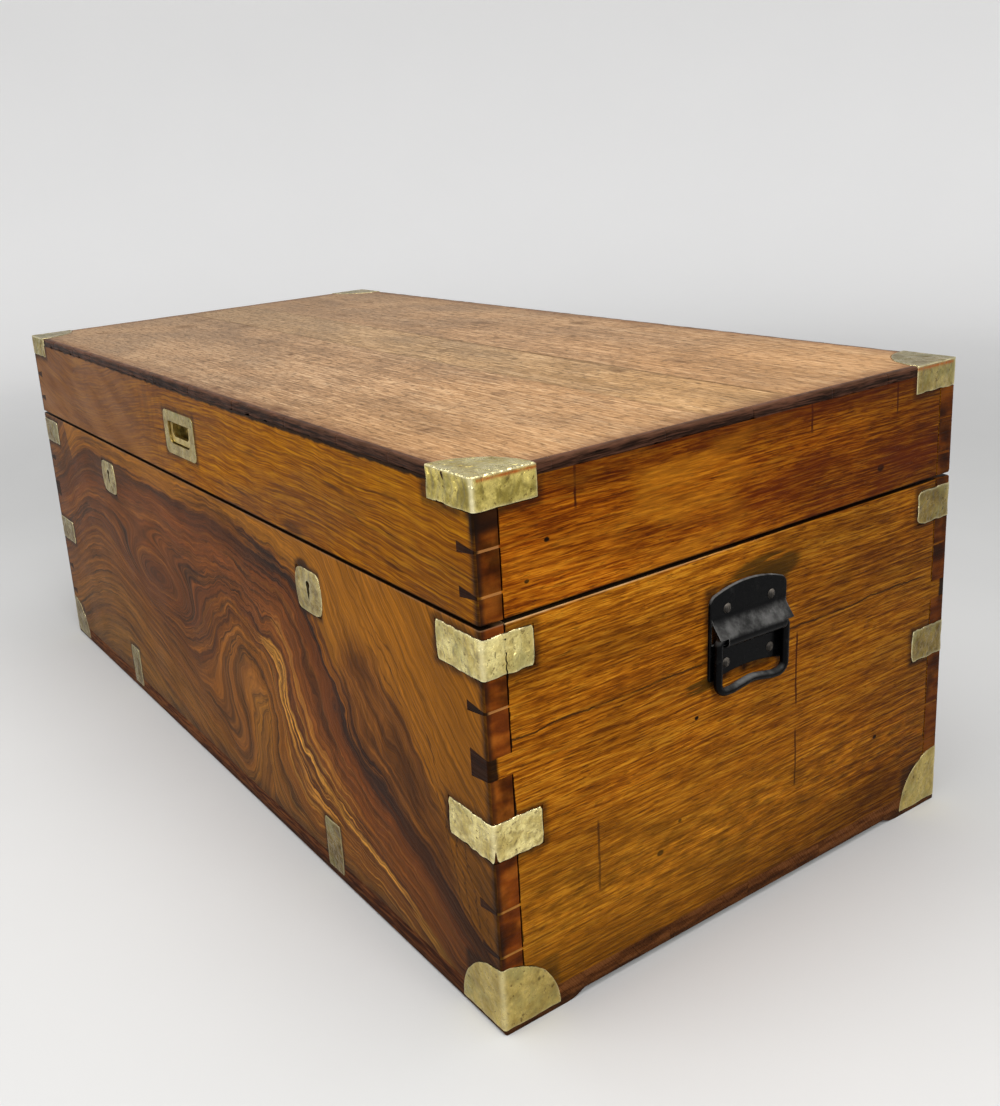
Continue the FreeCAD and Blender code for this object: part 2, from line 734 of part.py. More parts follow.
def handle_screws():
    """Slotted round-head screws through the plate into the end board."""
    face = half_length + handle_thickness
    r, h = screw_head_radius, screw_head_height
    dome_radius = (r * r + h * h) / (2 * h)
    screws = []
    for y, z in handle_screw_places():
        centre = Vector(face + h - dome_radius, y, z)
        dome = Part.makeSphere(dome_radius, centre).common(
            box(face, face + h + over, y - r - over, y + r + over, z - r - over, z + r + over))
        shank = rod(Vector(face - screw_length, y, z), Vector(face, y, z), screw_shank_radius)
        slot = box(face + h - screw_slot_depth, face + h + over,
                   y - screw_slot / 2, y + screw_slot / 2, z - r - over, z + r + over)
        screws.append(dome.fuse(shank).cut(slot))
    return screws


# Putting the chest together

def brasses():
    """Every corner brass by node name."""
    upper_top = rim - upper_strap_below_rim
    middle_low = middle_strap_above_floor
    made = {
        "upper_strap": corner_strap(upper_top - strap_height, upper_top, strap_front_leg, strap_end_leg),
        "middle_strap": corner_strap(middle_low, middle_low + strap_height, strap_front_leg, strap_end_leg),
        "bottom_cap": bottom_cap(),
        "lid_cap": lid_cap(),
    }
    placed = {kind + "_" + corner: mirrored(shape, *signs)
              for kind, shape in made.items() for corner, signs in CORNERS.items()}
    for side in SIDES:
        placed["middle_strap_back_" + side].translate(Vector(0, 0, rear_middle_strap_rise))
    return placed


def ends_fittings():
    """The iron handles' pieces for both ends, by node name, hung a little askew."""

    def hung(shape, sign):
        shape = shape.copy()
        shape.rotate(bail_pivot(), Vector(1, 0, 0), -handle_tilt)
        return mirrored(shape, sign, 1)

    made = {"handle_screws": Part.makeCompound(
        [hung(screw, sign) for sign in SIDES.values() for screw in handle_screws()])}
    for side, sign in SIDES.items():
        made["handle_plate_" + side] = hung(handle_plate(), sign)
        made["handle_bail_" + side] = hung(handle_bail(), sign)
    return made


def base_pieces(fittings):
    """The base's boards, runners and planks, with pockets for what is let into them."""
    envelope = chest_block(0, base_floor, rim, rim_radius)
    pins = dovetail_pins(base_narrow_pins, base_wide_pins, base_floor, base_height)
    tails, end = tail_board(base_floor, rim, envelope, pins), pin_board(base_floor, rim, envelope, pins)
    locks = [tool(sign) for sign in SIDES.values() for tool in (lock_envelope, keyhole)]
    hinges = [tool for sign in SIDES.values() for tool in (hinge_leaf(sign, False), hinge_notch(sign))]
    made = {
        "base_front": tails.cut(locks),
        "base_back": mirrored(tails, 1, -1).cut([back_bevel(False), *hinges]),
        "base_end_left": mirrored(end, -1, 1),
        "base_end_right": end,
        "runner_front": runner(),
        "runner_back": mirrored(runner(), 1, -1),
    }
    for index in range(bottom_plank_count):
        made["bottom_plank_%d" % (index + 1)] = bottom_plank(index)
    return {name: one_solid(let_in(board, fittings)) for name, board in made.items()}


def lid_pieces(fittings):
    """The lid's boards, top planks and edging, with pockets for what is let into them."""
    envelope = chest_block(0, lid_rim, lid_deck)
    pins = dovetail_pins(lid_narrow_pins, (), lid_rim, lid_height)
    tails, end = tail_board(lid_rim, lid_deck, envelope, pins), pin_board(lid_rim, lid_deck, envelope, pins)
    hinges = [tool for sign in SIDES.values() for tool in (hinge_leaf(sign, True), hinge_notch(sign))]
    first = -half_depth + moulding_width
    second = first + front_plank_width
    third = second + middle_plank_width
    last = half_depth - moulding_width
    made = {
        "lid_front": tails.cut([lock_strike(sign) for sign in SIDES.values()]),
        "lid_back": mirrored(tails, 1, -1).cut([back_bevel(True), *hinges]),
        "lid_end_left": mirrored(end, -1, 1),
        "lid_end_right": end,
        "lid_plank_front": lid_plank(first, second - plank_gap),
        "lid_plank_middle": lid_plank(second, third - plank_gap),
        "lid_plank_rear": lid_plank(third, last),
    }
    for name in ("front", "back", "left", "right"):
        made["lid_moulding_" + name] = lid_moulding(name)
    return {name: one_solid(let_in(board, fittings)) for name, board in made.items()}


def mouth_block():
    """The lifting pan filled in, which is the hollow cut for it in the lid's front board."""
    cup = rounded_outline(
        lift_mouth_width, lift_mouth_height, lift_mouth_top_round, lift_mouth_round,
        lift_z(), -half_depth - over)
    return lift_pan().fuse(Part.Face(cup).extrude(Vector(0, over + lift_cup_depth, 0)))


def chest():
    """Every node's shape by name."""
    pieces = brasses()
    ends = ends_fittings()
    base_lets = [shape for name, shape in pieces.items() if not name.startswith("lid")]
    base_lets += ends["handle_screws"].Solids
    lid_lets = [shape for name, shape in pieces.items() if name.startswith("lid")]
    for side, sign in SIDES.items():
        strap, plate_blank = edge_strap(sign), escutcheon(sign)
        base_lets += [strap, plate_blank]
        pieces["edge_strap_" + side] = strap
        pieces["escutcheon_" + side] = plate_blank.cut(keyhole(sign))
        pieces["lock_case_" + side] = lock_case(sign)
        pieces["lock_bolt_" + side] = lock_bolt(sign)
        pieces["lock_strike_" + side] = lock_strike(sign)
        pieces["hinge_base_leaf_" + side] = hinge_leaf(sign, False)
        pieces["hinge_lid_leaf_" + side] = hinge_leaf(sign, True)
    pieces["hinge_pins"] = Part.makeCompound([hinge_pin(sign) for sign in SIDES.values()])
    pieces["lift_pan"] = lift_pan()
    pieces["lift_bail"] = lift_bail()
    pieces.update(ends)
    pieces.update(base_pieces(base_lets))
    pieces.update(lid_pieces(lid_lets + [mouth_block()]))
    return pieces


os.makedirs("parts", exist_ok=True)
for node, shape in chest().items():
    whole = shape if len(shape.Solids) > 1 else shape.Solids[0]
    whole.exportStep(os.path.join("parts", node + ".step"))
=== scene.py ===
import math

import bpy
import numpy as np
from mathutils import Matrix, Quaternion, Vector


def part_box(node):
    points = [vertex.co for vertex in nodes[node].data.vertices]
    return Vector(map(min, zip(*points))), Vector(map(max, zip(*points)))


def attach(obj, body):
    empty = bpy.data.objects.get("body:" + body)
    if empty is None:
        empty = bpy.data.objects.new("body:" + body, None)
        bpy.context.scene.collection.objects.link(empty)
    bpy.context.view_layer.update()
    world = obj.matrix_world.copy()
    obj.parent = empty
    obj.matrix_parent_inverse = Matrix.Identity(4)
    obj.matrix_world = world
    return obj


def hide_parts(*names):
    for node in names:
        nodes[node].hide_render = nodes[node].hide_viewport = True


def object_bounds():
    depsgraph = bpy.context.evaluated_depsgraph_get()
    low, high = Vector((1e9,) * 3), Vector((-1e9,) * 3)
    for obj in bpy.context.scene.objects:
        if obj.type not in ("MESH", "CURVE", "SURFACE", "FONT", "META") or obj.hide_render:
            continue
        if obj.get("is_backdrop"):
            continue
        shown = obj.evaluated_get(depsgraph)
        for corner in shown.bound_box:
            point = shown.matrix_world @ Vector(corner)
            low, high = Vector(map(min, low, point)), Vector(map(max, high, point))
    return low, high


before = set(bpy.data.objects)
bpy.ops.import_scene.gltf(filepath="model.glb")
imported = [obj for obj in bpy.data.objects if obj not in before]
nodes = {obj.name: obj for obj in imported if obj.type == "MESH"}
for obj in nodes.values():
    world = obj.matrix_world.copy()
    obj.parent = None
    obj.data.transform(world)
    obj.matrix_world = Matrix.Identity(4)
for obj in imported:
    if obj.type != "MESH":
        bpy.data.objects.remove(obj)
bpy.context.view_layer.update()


# Runners and bottom planks. Two red-brown softwood skids lie under the long edges and carry the chest;
# between them thin planks are nailed up under the end boards, so their sawn ends show at the ends.

def tone(red, green, blue):
    """A colour from its 0 to 255 screen values, as the linear light that the shaders use."""
    screen = np.array([red, green, blue]) / 255
    linear = np.where(screen <= 0.04045, screen / 12.92, ((screen + 0.055) / 1.055) ** 2.4)
    return (*linear.tolist(), 1.0)


class Field:
    """A number, place or colour that changes over a surface: one node's output, open to plain arithmetic."""

    def __init__(self, finish, socket):
        self.finish, self.socket = finish, socket

    def __add__(self, other):
        return self.finish.calc("ADD", self, other)

    def __sub__(self, other):
        return self.finish.calc("SUBTRACT", self, other)

    def __mul__(self, other):
        return self.finish.calc("MULTIPLY", self, other)

    def __neg__(self):
        return self * -1.0

    def __abs__(self):
        return self.finish.calc("ABSOLUTE", self)


class Finish:
    """A surface finish: one material, whose nodes are set down by short calls that each give a field.
    A colour is either a field or a triple of screen values."""

    def __init__(self, name):
        self.material = bpy.data.materials.new(name)
        self.material.use_nodes = True
        self.tree = self.material.node_tree
        self.shader = self.tree.nodes["Principled BSDF"]
        coordinates = self.tree.nodes.new("ShaderNodeTexCoord")
        self.place = Field(self, coordinates.outputs["Object"])
        self.normal = Field(self, coordinates.outputs["Normal"])

    def node(self, kind, inputs=(), **settings):
        """A new node with its settings, its inputs fed with fields or plain values."""
        made = self.tree.nodes.new(kind)
        for key, value in settings.items():
            setattr(made, key, value)
        for key, value in dict(inputs).items():
            self.feed(made.inputs[key], value)
        return made

    def field(self, kind, inputs=(), output=0, **settings):
        """One output of a new node."""
        return Field(self, self.node(kind, inputs, **settings).outputs[output])

    def feed(self, socket, value):
        if isinstance(value, Field):
            self.tree.links.new(value.socket, socket)
        else:
            socket.default_value = value

    def colour(self, value):
        return value if isinstance(value, Field) else tone(*value)

    def calc(self, operation, *terms):
        return self.field("ShaderNodeMath", dict(enumerate(terms)), operation=operation)

    def larger(self, one, other):
        return self.calc("MAXIMUM", one, other)

    def root(self, value):
        return self.calc("SQRT", value)

    def vector(self, operation, inputs, output=0):
        return self.field("ShaderNodeVectorMath", inputs, output, operation=operation)

    def axes(self, vector):
        """The x, y and z of a place or a normal."""
        return [Field(self, socket) for socket in self.node("ShaderNodeSeparateXYZ", {0: vector}).outputs]

    def facing(self, axis):
        """1 on faces square to an axis, 0 on faces along it."""
        return abs(self.axes(self.normal)[axis])

    def join(self, x, y, z):
        return self.field("ShaderNodeCombineXYZ", {0: x, 1: y, 2: z})

    def noise(self, vector, scale=1.0, detail=3.0, roughness=0.55, output="Fac"):
        return self.field("ShaderNodeTexNoise", {
            "Vector": vector, "Scale": scale, "Detail": detail, "Roughness": roughness}, output)

    def rise(self, value, low, high):
        """0 below low, 1 above high and a smooth step between; the other way round if low is the larger."""
        ends = {"Value": value, 1: low, 2: high}
        return self.field("ShaderNodeMapRange", ends, interpolation_type="SMOOTHSTEP")

    def spread(self, value, low, high):
        """A 0 to 1 value spread over low to high."""
        return self.field("ShaderNodeMapRange", {"Value": value, 3: low, 4: high}, clamp=False)

    def patchy(self, scale, low, high):
        """Cloudy noise of a scale, spread over low to high."""
        return self.spread(self.noise(self.place, scale), low, high)

    def ramp(self, value, stops):
        """A colour for a value, from (position, screen values) stops."""
        made = self.node("ShaderNodeValToRGB", {0: value})
        elements = made.color_ramp.elements
        for extra in stops[2:]:
            elements.new(extra[0])
        for element, (position, colour) in zip(elements, stops):
            element.position, element.color = position, tone(*colour)
        return Field(self, made.outputs[0])

    def mix(self, amount, under, over):
        """One colour laid over another: none of it where amount is 0, only it where amount is 1."""
        colours = {6: self.colour(under), 7: self.colour(over)}
        return self.field("ShaderNodeMix", {0: amount, **colours}, 2, data_type="RGBA")

    def shade(self, colour, factor):
        """A colour made lighter or darker by a factor."""
        light = colour if isinstance(colour, Field) else tone(*colour)[:3]
        return self.vector("SCALE", {0: light, "Scale": factor})

    def moved(self, vector, by, amount):
        """A place shifted by a noise colour, up to half the amount each way."""
        centred = self.vector("SUBTRACT", {0: by, 1: (0.5, 0.5, 0.5)})
        return self.vector("ADD", {0: vector, 1: self.vector("SCALE", {0: centred, "Scale": amount})})

    def edges(self, radius):
        """1 on outside edges, 0 on flats: how far the normal turns when edges are rounded to a radius."""
        rounded = self.field("ShaderNodeBevel", {"Radius": radius}, samples=4)
        true = self.field("ShaderNodeNewGeometry", output="Normal")
        return self.rise(self.vector("DOT_PRODUCT", {0: rounded, 1: true}, "Value"), 0.985, 0.85)

    def hill(self, vector, centre, reach, turn=0.0):
        """A bell-shaped mound: e to the minus square of the distance from centre, measured in reaches."""
        local = self.field("ShaderNodeMapping", {
            "Vector": vector, "Location": centre, "Rotation": (0, math.radians(turn), 0), "Scale": reach},
            vector_type="TEXTURE")
        far = self.vector("LENGTH", {0: local}, "Value")
        return self.calc("EXPONENT", -(far * far))

    def drawn(self, along, across, long, wide, seed, detail=3.0, low=0.32, high=0.68):
        """Noise drawn out along the grain, from 0 to 1: long and wide are its waves per metre."""
        vector = self.join(along * long, across * wide, seed)
        return self.rise(self.noise(vector, detail=detail, roughness=0.6), low, high)

    def paint(self, colour, roughness, height=None, relief=0.0003, soft=0.0, **more):
        """Colour, roughness and relief in metres, put on the shader; edges look worn to the radius soft."""
        self.feed(self.shader.inputs["Base Color"], colour)
        self.feed(self.shader.inputs["Roughness"], roughness)
        if height is not None:
            bump = self.node("ShaderNodeBump", {"Height": height, "Distance": relief, "Strength": 1.0})
            if soft:
                self.feed(bump.inputs["Normal"], self.field("ShaderNodeBevel", {"Radius": soft}, samples=4))
            self.feed(self.shader.inputs["Normal"], Field(self, bump.outputs[0]))
        for key, value in more.items():
            self.feed(self.shader.inputs[key.replace("_", " ")], value)
        return self.material

    def waxed(self, colour, roughness, height, relief=0.00025):
        """Old wax over wood: a faint warm sheen."""
        return self.paint(colour, roughness, height, relief, Specular_IOR_Level=0.05,
                          Specular_Tint=tone(255, 226, 190))


def straight_wood(wood, along, across, tones, seed, wander=0.007, contrast=1.0):
    """Straight-grained wood: growth bands, streaks, long lines, fibres and pores, all noise drawn out along
    the grain. contrast is how strongly they show. Gives the colour and the height of the surface."""
    slow = wood.join(along * 2.6, across * 5.0, seed)
    across = across + wood.spread(wood.noise(slow, detail=2.0), -wander, wander)
    bands = wood.drawn(along, across, 1.6, 17.0, seed + 1, 4.0)
    streaks = wood.drawn(along, across, 4.0, 120.0, seed + 2, 4.0)
    lines = wood.drawn(along, across, 17.0, 400.0, seed + 3, 3.0)
    fibres = wood.drawn(along, across, 48.0, 680.0, seed + 4, 2.0, 0.35, 0.65)
    pores = wood.drawn(along, across, 50.0, 430.0, seed + 5, 2.0, 0.63, 0.69)
    blend = wood.rise(bands * 0.18 + streaks * 0.16 + lines * 0.34 + fibres * 0.32, 0.12, 0.88)
    blend = wood.spread(blend, 0.5 - 0.5 * contrast, 0.5 + 0.5 * contrast)
    light = wood.spread(pores, 1.0, 1.0 - 0.45 * contrast) * wood.spread(lines, 0.94, 1.06)
    return wood.shade(wood.ramp(blend, tones), light), lines * 0.5 + fibres * 0.3 - pores * 0.8


def dress(name, material):
    """A CAD piece keeps its shape and takes a finish."""
    nodes[name].data.materials.clear()
    nodes[name].data.materials.append(material)


def plank_end_wood(name, seed):
    """Dull red-brown plank, darker towards the floor, with sawn end grain on its ends."""
    wood = Finish(name)
    x, y, z = wood.axes(wood.place)
    tones = [(0.1, (52, 25, 13)), (0.5, (96, 52, 26)), (0.9, (126, 76, 40))]
    face, height = straight_wood(wood, x, y + z * 0.7, tones, seed)
    saw, dots = wood.drawn(y, z, 22.0, 160.0, seed), wood.noise(wood.place, 700.0, 2.0)
    end = wood.ramp(saw * 0.5 + dots * 0.5, [(0.2, (50, 27, 13)), (0.5, (94, 54, 26)), (0.8, (124, 76, 40))])
    colour = wood.mix(wood.rise(wood.facing(0), 0.6, 0.8), face, end)
    # darker towards the floor
    toward_floor = wood.rise(z, 0.013, 0.001) * wood.patchy(55.0, 0.1, 1.2)
    return wood.waxed(wood.mix(toward_floor, colour, (38, 24, 17)), 0.6, height, 0.0004)


runner_wood = plank_end_wood("runner_wood", 11.0)
dress("runner_front", runner_wood)
dress("runner_back", runner_wood)
for number in (1, 2, 3, 4):
    dress("bottom_plank_%d" % number, plank_end_wood("bottom_wood_%d" % number, 20.0 + 7.3 * number))


# Base front board. One wide camphorwood plank cut through the crotch of the tree, waxed: a dark red
# figure with two eyes sweeps down to the right under a golden band. Its tails' end grain shows at the ends.

any_depth = 9.0                          # a reach that takes a mark right through a board
inside_long_board, inside_end_board = 0.248, 0.512     # half way through the boards, from the chest's middle
dark_brown = (24, 14, 9)


def outer_face(wood, across, inside):
    """1 on a board's outer face and 0 on its inner one, with a soft change half way through it."""
    return wood.rise(abs(across), inside, inside + 0.007)


def nearness(wood, across, up, box, fade):
    """1 on a rectangle, given by its middle and half sizes, and falling to 0 at a distance fade from it."""
    middle_across, middle_up, half_across, half_up = box
    out = wood.larger(abs(across - middle_across) - half_across, 0.0)
    over = wood.larger(abs(up - middle_up) - half_up, 0.0)
    return wood.rise(wood.root(out * out + over * over), fade, 0.0)


def dirt_and_shadow_ring(wood, colour, across, up, boxes, outside, fade=0.008):
    """Wax and dirt gathered round let-in fittings, with a painted shadow along their edges, on the face where
    outside is 1.
    """
    most = 0.0
    for box in boxes:
        most = wood.larger(most, nearness(wood, across, up, box, fade))
    # dirt and a painted shadow round the fittings
    return wood.mix(most * wood.patchy(85.0, 0.15, 1.35) * outside, colour, (34, 18, 8))


def rim_dust_and_gap_shade(wood, colour, outside):
    """Dust and wax on a board's upper or lower edge, and painted shade of the closed gap between lid and
    base: black near the outside, brown further in.
    """
    level = wood.rise(wood.facing(2), 0.5, 0.8)
    # painted shade in the gap between lid and base, with dust, darkest near the outside
    return wood.mix(level * wood.spread(outside, 0.45, 0.97), colour, (10, 6, 4))


def corner_wear(wood, colour, least, dark):
    """The upright corner of a front board, worn dark: the end of its face and the outer edge of its tails."""
    x, y = wood.axes(wood.place)[:2]
    on_end = wood.facing(0)
    face = wood.rise(abs(x), 0.5190, 0.5255) * wood.rise(on_end, 0.95, 0.75)
    tails = wood.rise(abs(y), 0.2575, 0.2620) * wood.rise(on_end, 0.75, 0.90)
    return wood.mix(wood.larger(face, tails) * wood.patchy(70.0, least, 1.2), colour, dark)


def sawn_end(wood, axis):
    """1 where a board is cut across its fibres, at its ends along an axis."""
    return wood.rise(wood.facing(axis), 0.75, 0.9)


def end_grain(wood, seed):
    """Sawn across the fibres, then worn and waxed smooth: red-brown clouds and faint close dots."""
    x, y, z = wood.axes(wood.place)
    bands = wood.drawn(x + y, z, 20.0, 60.0, seed, 2.0)
    dots = wood.noise(wood.place, 700.0, 2.0)
    stain = wood.rise(wood.noise(wood.place, 42.0), 0.30, 0.66)
    tint = wood.ramp(bands, [(0.1, (96, 44, 12)), (0.5, (126, 62, 15)), (0.9, (150, 82, 24))])
    return wood.shade(tint, wood.spread(dots, 0.82, 1.18) * wood.spread(stain, 0.34, 1.35))


def front_growth(wood):
    """The figure as a field of growth levels. At the left a level is the height on the board, arched low
    down, raised round one eye and sunk round the other; at the right the levels are hyperbolas, which come
    down steeply under the keyhole and run out flat to the lower corner. The place is bent by noise, most at
    the right. Gives the bent place, how strong the bending is, and the level."""
    twist = wood.hill(wood.place, (0.23, 0, 0.17), (0.23, any_depth, 0.13))
    swirl = wood.place
    for scale, still, strong in ((8.0, 0.022, 0.080), (27.0, 0.006, 0.026), (85.0, 0.0015, 0.0050)):
        bend = wood.noise(wood.place, scale, output="Color")
        swirl = wood.moved(swirl, bend, wood.spread(twist, still, strong))
    x, z = wood.axes(swirl)[::2]

    def slope(start, lean, soft):
        """Nothing before start, then a straight climb, with a soft beginning."""
        past = x - start
        return (past + wood.root(past * past + soft * soft)) * (lean / 2)

    arch_x, arch_radius = x + 0.30, 0.08
    low_arch = (wood.root(arch_x * arch_x + arch_radius ** 2) - arch_radius) * 0.35
    upper = wood.rise(z + x * 0.5, 0.07, 0.20)
    fall = upper * slope(0.23, 1.3, 0.05) + wood.spread(upper, 1.0, 0.0) * low_arch
    left_eye = wood.hill(swirl, (-0.125, 0, 0.188), (0.130, any_depth, 0.034), 3)
    right_eye = wood.hill(swirl, (0.105, 0, 0.184), (0.055, any_depth, 0.045), 20)
    lifted = wood.rise(x, -0.36, -0.52) * 0.018
    plain = z + fall + lifted + left_eye * 0.070 - right_eye * 0.050
    beyond = wood.larger(x - 0.14, 0.0)
    above = wood.larger(z + slope(0.38, 0.28, 0.03) - 0.02, 0.0)
    fan = wood.spread(wood.root(beyond * above), 0.097, 1.355)
    turned = wood.rise(x - z * 0.55, 0.034, 0.124)
    return swirl, twist, plain * wood.spread(turned, 1.0, 0.0) + fan * turned


def front_figure():
    """Colours, flame and dark veins by growth level, then wear, wax, dirt and painted light by the place on
    the board:
    a painted shadow round the brasses, a painted reflection haze to the left, a painted highlight along the
    rim and painted shade in the gap above it.
    """
    wood = Finish("base_front_figure")
    swirl, twist, growth = front_growth(wood)
    x = wood.axes(swirl)[0]
    bands = wood.drawn(x, growth, 2.4, 34.0, 3.0, 5.0)
    streaks = wood.drawn(x, growth, 6.0, 150.0, 5.0, 4.0)
    lines = wood.drawn(x, growth, 22.0, 420.0, 7.0, 4.0)
    fibres = wood.drawn(x, growth, 70.0, 760.0, 8.0, 2.0)
    level = growth + wood.spread(bands, -0.015, 0.015) + wood.spread(streaks, -0.005, 0.005)
    flame_level, vein_level, top_level = 0.208, 0.303, 0.42
    levels = [(0.02, (112, 70, 20)), (0.06, (134, 88, 27)), (0.09, (108, 64, 18)), (0.12, (138, 88, 27)),
              (0.15, (116, 68, 19)), (0.178, (124, 72, 20)), (0.196, (86, 44, 13)),
              (flame_level, (136, 80, 23)), (0.222, (90, 46, 14)), (0.245, (120, 66, 20)),
              (0.272, (112, 59, 18)), (0.292, (98, 50, 15)), (vein_level, (70, 36, 13)),
              (0.309, (72, 38, 13)), (0.317, (122, 70, 18)), (0.330, (154, 96, 22)), (0.41, (162, 100, 22))]
    figure = wood.ramp(level * (1 / top_level), [(at / top_level, colour) for at, colour in levels])

    at_right = wood.rise(x, 0.14, 0.19)
    flame = (at_right * wood.rise(abs(level - flame_level), 0.012, 0.003)
             * wood.drawn(x, growth, 7.0, 160.0, 9.0, 3.0, 0.36, 0.56))
    gold = (at_right * wood.rise(growth, 0.11, 0.15) * wood.rise(growth, 0.265, 0.225)
            * wood.drawn(x, growth, 6.0, 150.0, 10.0, 3.0, 0.52, 0.64))
    figure = wood.mix(wood.larger(flame, gold * 0.60), figure, (212, 150, 62))
    glints = wood.drawn(x, growth, 4.0, 120.0, 12.0, 4.0, 0.50, 0.66) * wood.rise(growth, 0.305, 0.285)
    figure = wood.mix(glints * 0.40, figure, (158, 98, 34))

    right_heart = wood.hill(swirl, (0.388, 0, 0.160), (0.125, any_depth, 0.064), 54)
    out = wood.root(-wood.calc("LOGARITHM", right_heart, math.e))
    mottle = wood.ramp(wood.drawn(x, growth, 14.0, 70.0, 21.0, 4.0),
                       [(0.1, (68, 35, 13)), (0.5, (96, 53, 18)), (0.9, (126, 75, 26))])
    figure = wood.mix(wood.rise(out, 1.10, 0.80) * wood.rise(level, 0.302, 0.320) * 0.88, figure, mottle)
    hook = wood.calc("FRACT", out * 7.0 + bands * 0.7)
    hook = (wood.rise(abs(hook - 0.5), 0.13, 0.0) * wood.rise(out, 0.80, 1.0) * wood.rise(out, 1.60, 1.25)
            * wood.rise(x, 0.34, 0.40) * wood.rise(growth, 0.31, 0.33))
    figure = wood.mix(hook * 0.75, figure, (60, 30, 10))
    vein = (wood.rise(abs(level - vein_level), 0.014, 0.003)
            * wood.rise(x, 0.12, 0.22) * wood.rise(x, 0.46, 0.34))
    figure = wood.mix(vein * 0.85, figure, (38, 22, 15))
    shadowed = wood.hill(wood.place, (0.52, 0, 0.11), (0.085, any_depth, 0.12))
    figure = wood.mix(shadowed * 0.25, figure, (84, 50, 26))
    figure = wood.shade(figure, wood.spread(shadowed, 1.0, 0.56))

    def veins(pitch, jitter, thin, seed, low, high):
        """Dark lines at even growth levels, broken where the noise is low."""
        wave = wood.calc("FRACT", growth * pitch + jitter)
        return wood.rise(abs(wave - 0.5), thin, 0.0) * wood.drawn(x, growth, 5.0, 12.0, seed, 2.0, low, high)

    wide_vein = veins(34.0, bands * 0.9, 0.10, 15.0, 0.42, 0.58)
    thin_vein = veins(96.0, streaks * 0.7, 0.17, 16.0, 0.42, 0.56)
    curl = wood.drawn(growth, x, 26.0, 190.0, 17.0, 3.0) * twist
    core = wood.hill(swirl, (-0.125, 0, 0.190), (0.105, any_depth, 0.020), 3)
    heart = wood.spread(wood.rise(growth, 0.345, 0.31), 0.40, 1.0)
    light = (wood.spread(streaks, 0.68, 1.32) * wood.spread(lines, 0.76, 1.24)
             * wood.spread(fibres, 0.88, 1.12) * wood.spread(curl, 0.90, 1.35)
             * wood.spread(wide_vein * heart, 1.0, 0.36) * wood.spread(thin_vein * heart, 1.0, 0.50)
             * wood.spread(core, 1.0, 0.66))
    colour = wood.shade(figure, light * 1.12)

    board_x, board_y, board_z = wood.axes(wood.place)
    # greyer towards the left: a bloom of dust with a painted reflection haze
    colour = wood.mix(wood.rise(board_x, 0.05, -0.50) * 0.12, colour, (112, 78, 46))
    outside = outer_face(wood, board_y, inside_long_board)
    corner_brasses = [(0.499, 0.309, 0.029, 0.016), (0.499, 0.165, 0.029, 0.016),
                      (0.515, 0.030, 0.030, 0.020)]
    colour = dirt_and_shadow_ring(wood, colour, abs(board_x), board_z, corner_brasses, outside)
    front_brasses = [(0.2665, 0.2875, 0.020, 0.0205), (0.2655, 0.035, 0.015, 0.026)]
    colour = dirt_and_shadow_ring(wood, colour, abs(board_x), board_z, front_brasses, outside, 0.006)
    thumbed = wood.hill(wood.place, (0.259, 0, 0.311), (0.013, any_depth, 0.006))
    colour = wood.mix(wood.rise(thumbed, 0.25, 0.8) * outside * 0.85, colour, (34, 16, 8))
    colour = wood.mix(sawn_end(wood, 0), colour, end_grain(wood, 4.0))
    colour = corner_wear(wood, colour, 0.3, (40, 24, 15))
    # darker towards the bottom of the board
    colour = wood.mix(wood.rise(board_z, 0.040, 0.019) * wood.noise(wood.place, 40.0) * 0.9, colour, dark_brown)
    # painted highlight: a pale worn line along the top edge of the rim
    rubbed_highlight = wood.rise(board_z, 0.3302, 0.3312) * wood.patchy(35.0, -0.3, 0.9)
    colour = rim_dust_and_gap_shade(wood, wood.mix(rubbed_highlight, colour, (150, 118, 90)), outside)
    return wood.waxed(colour, wood.patchy(18.0, 0.34, 0.52), lines * 0.5 + streaks * 0.4 - wide_vein * 0.4)


dress("base_front", front_figure())


# Base end boards and back. Straight-grained golden camphorwood, waxed and rubbed, with drying cracks
# and scribe lines; their pins pass through the front and back boards, and their end grain is near black.

golden = [(0.04, (98, 46, 5)), (0.28, (134, 73, 9)), (0.52, (162, 93, 14)), (0.76, (186, 116, 23)),
          (0.96, (208, 142, 38))]
narrow_pin, wide_pin = 0.00425, 0.0115   # half widths of the dovetails' pins


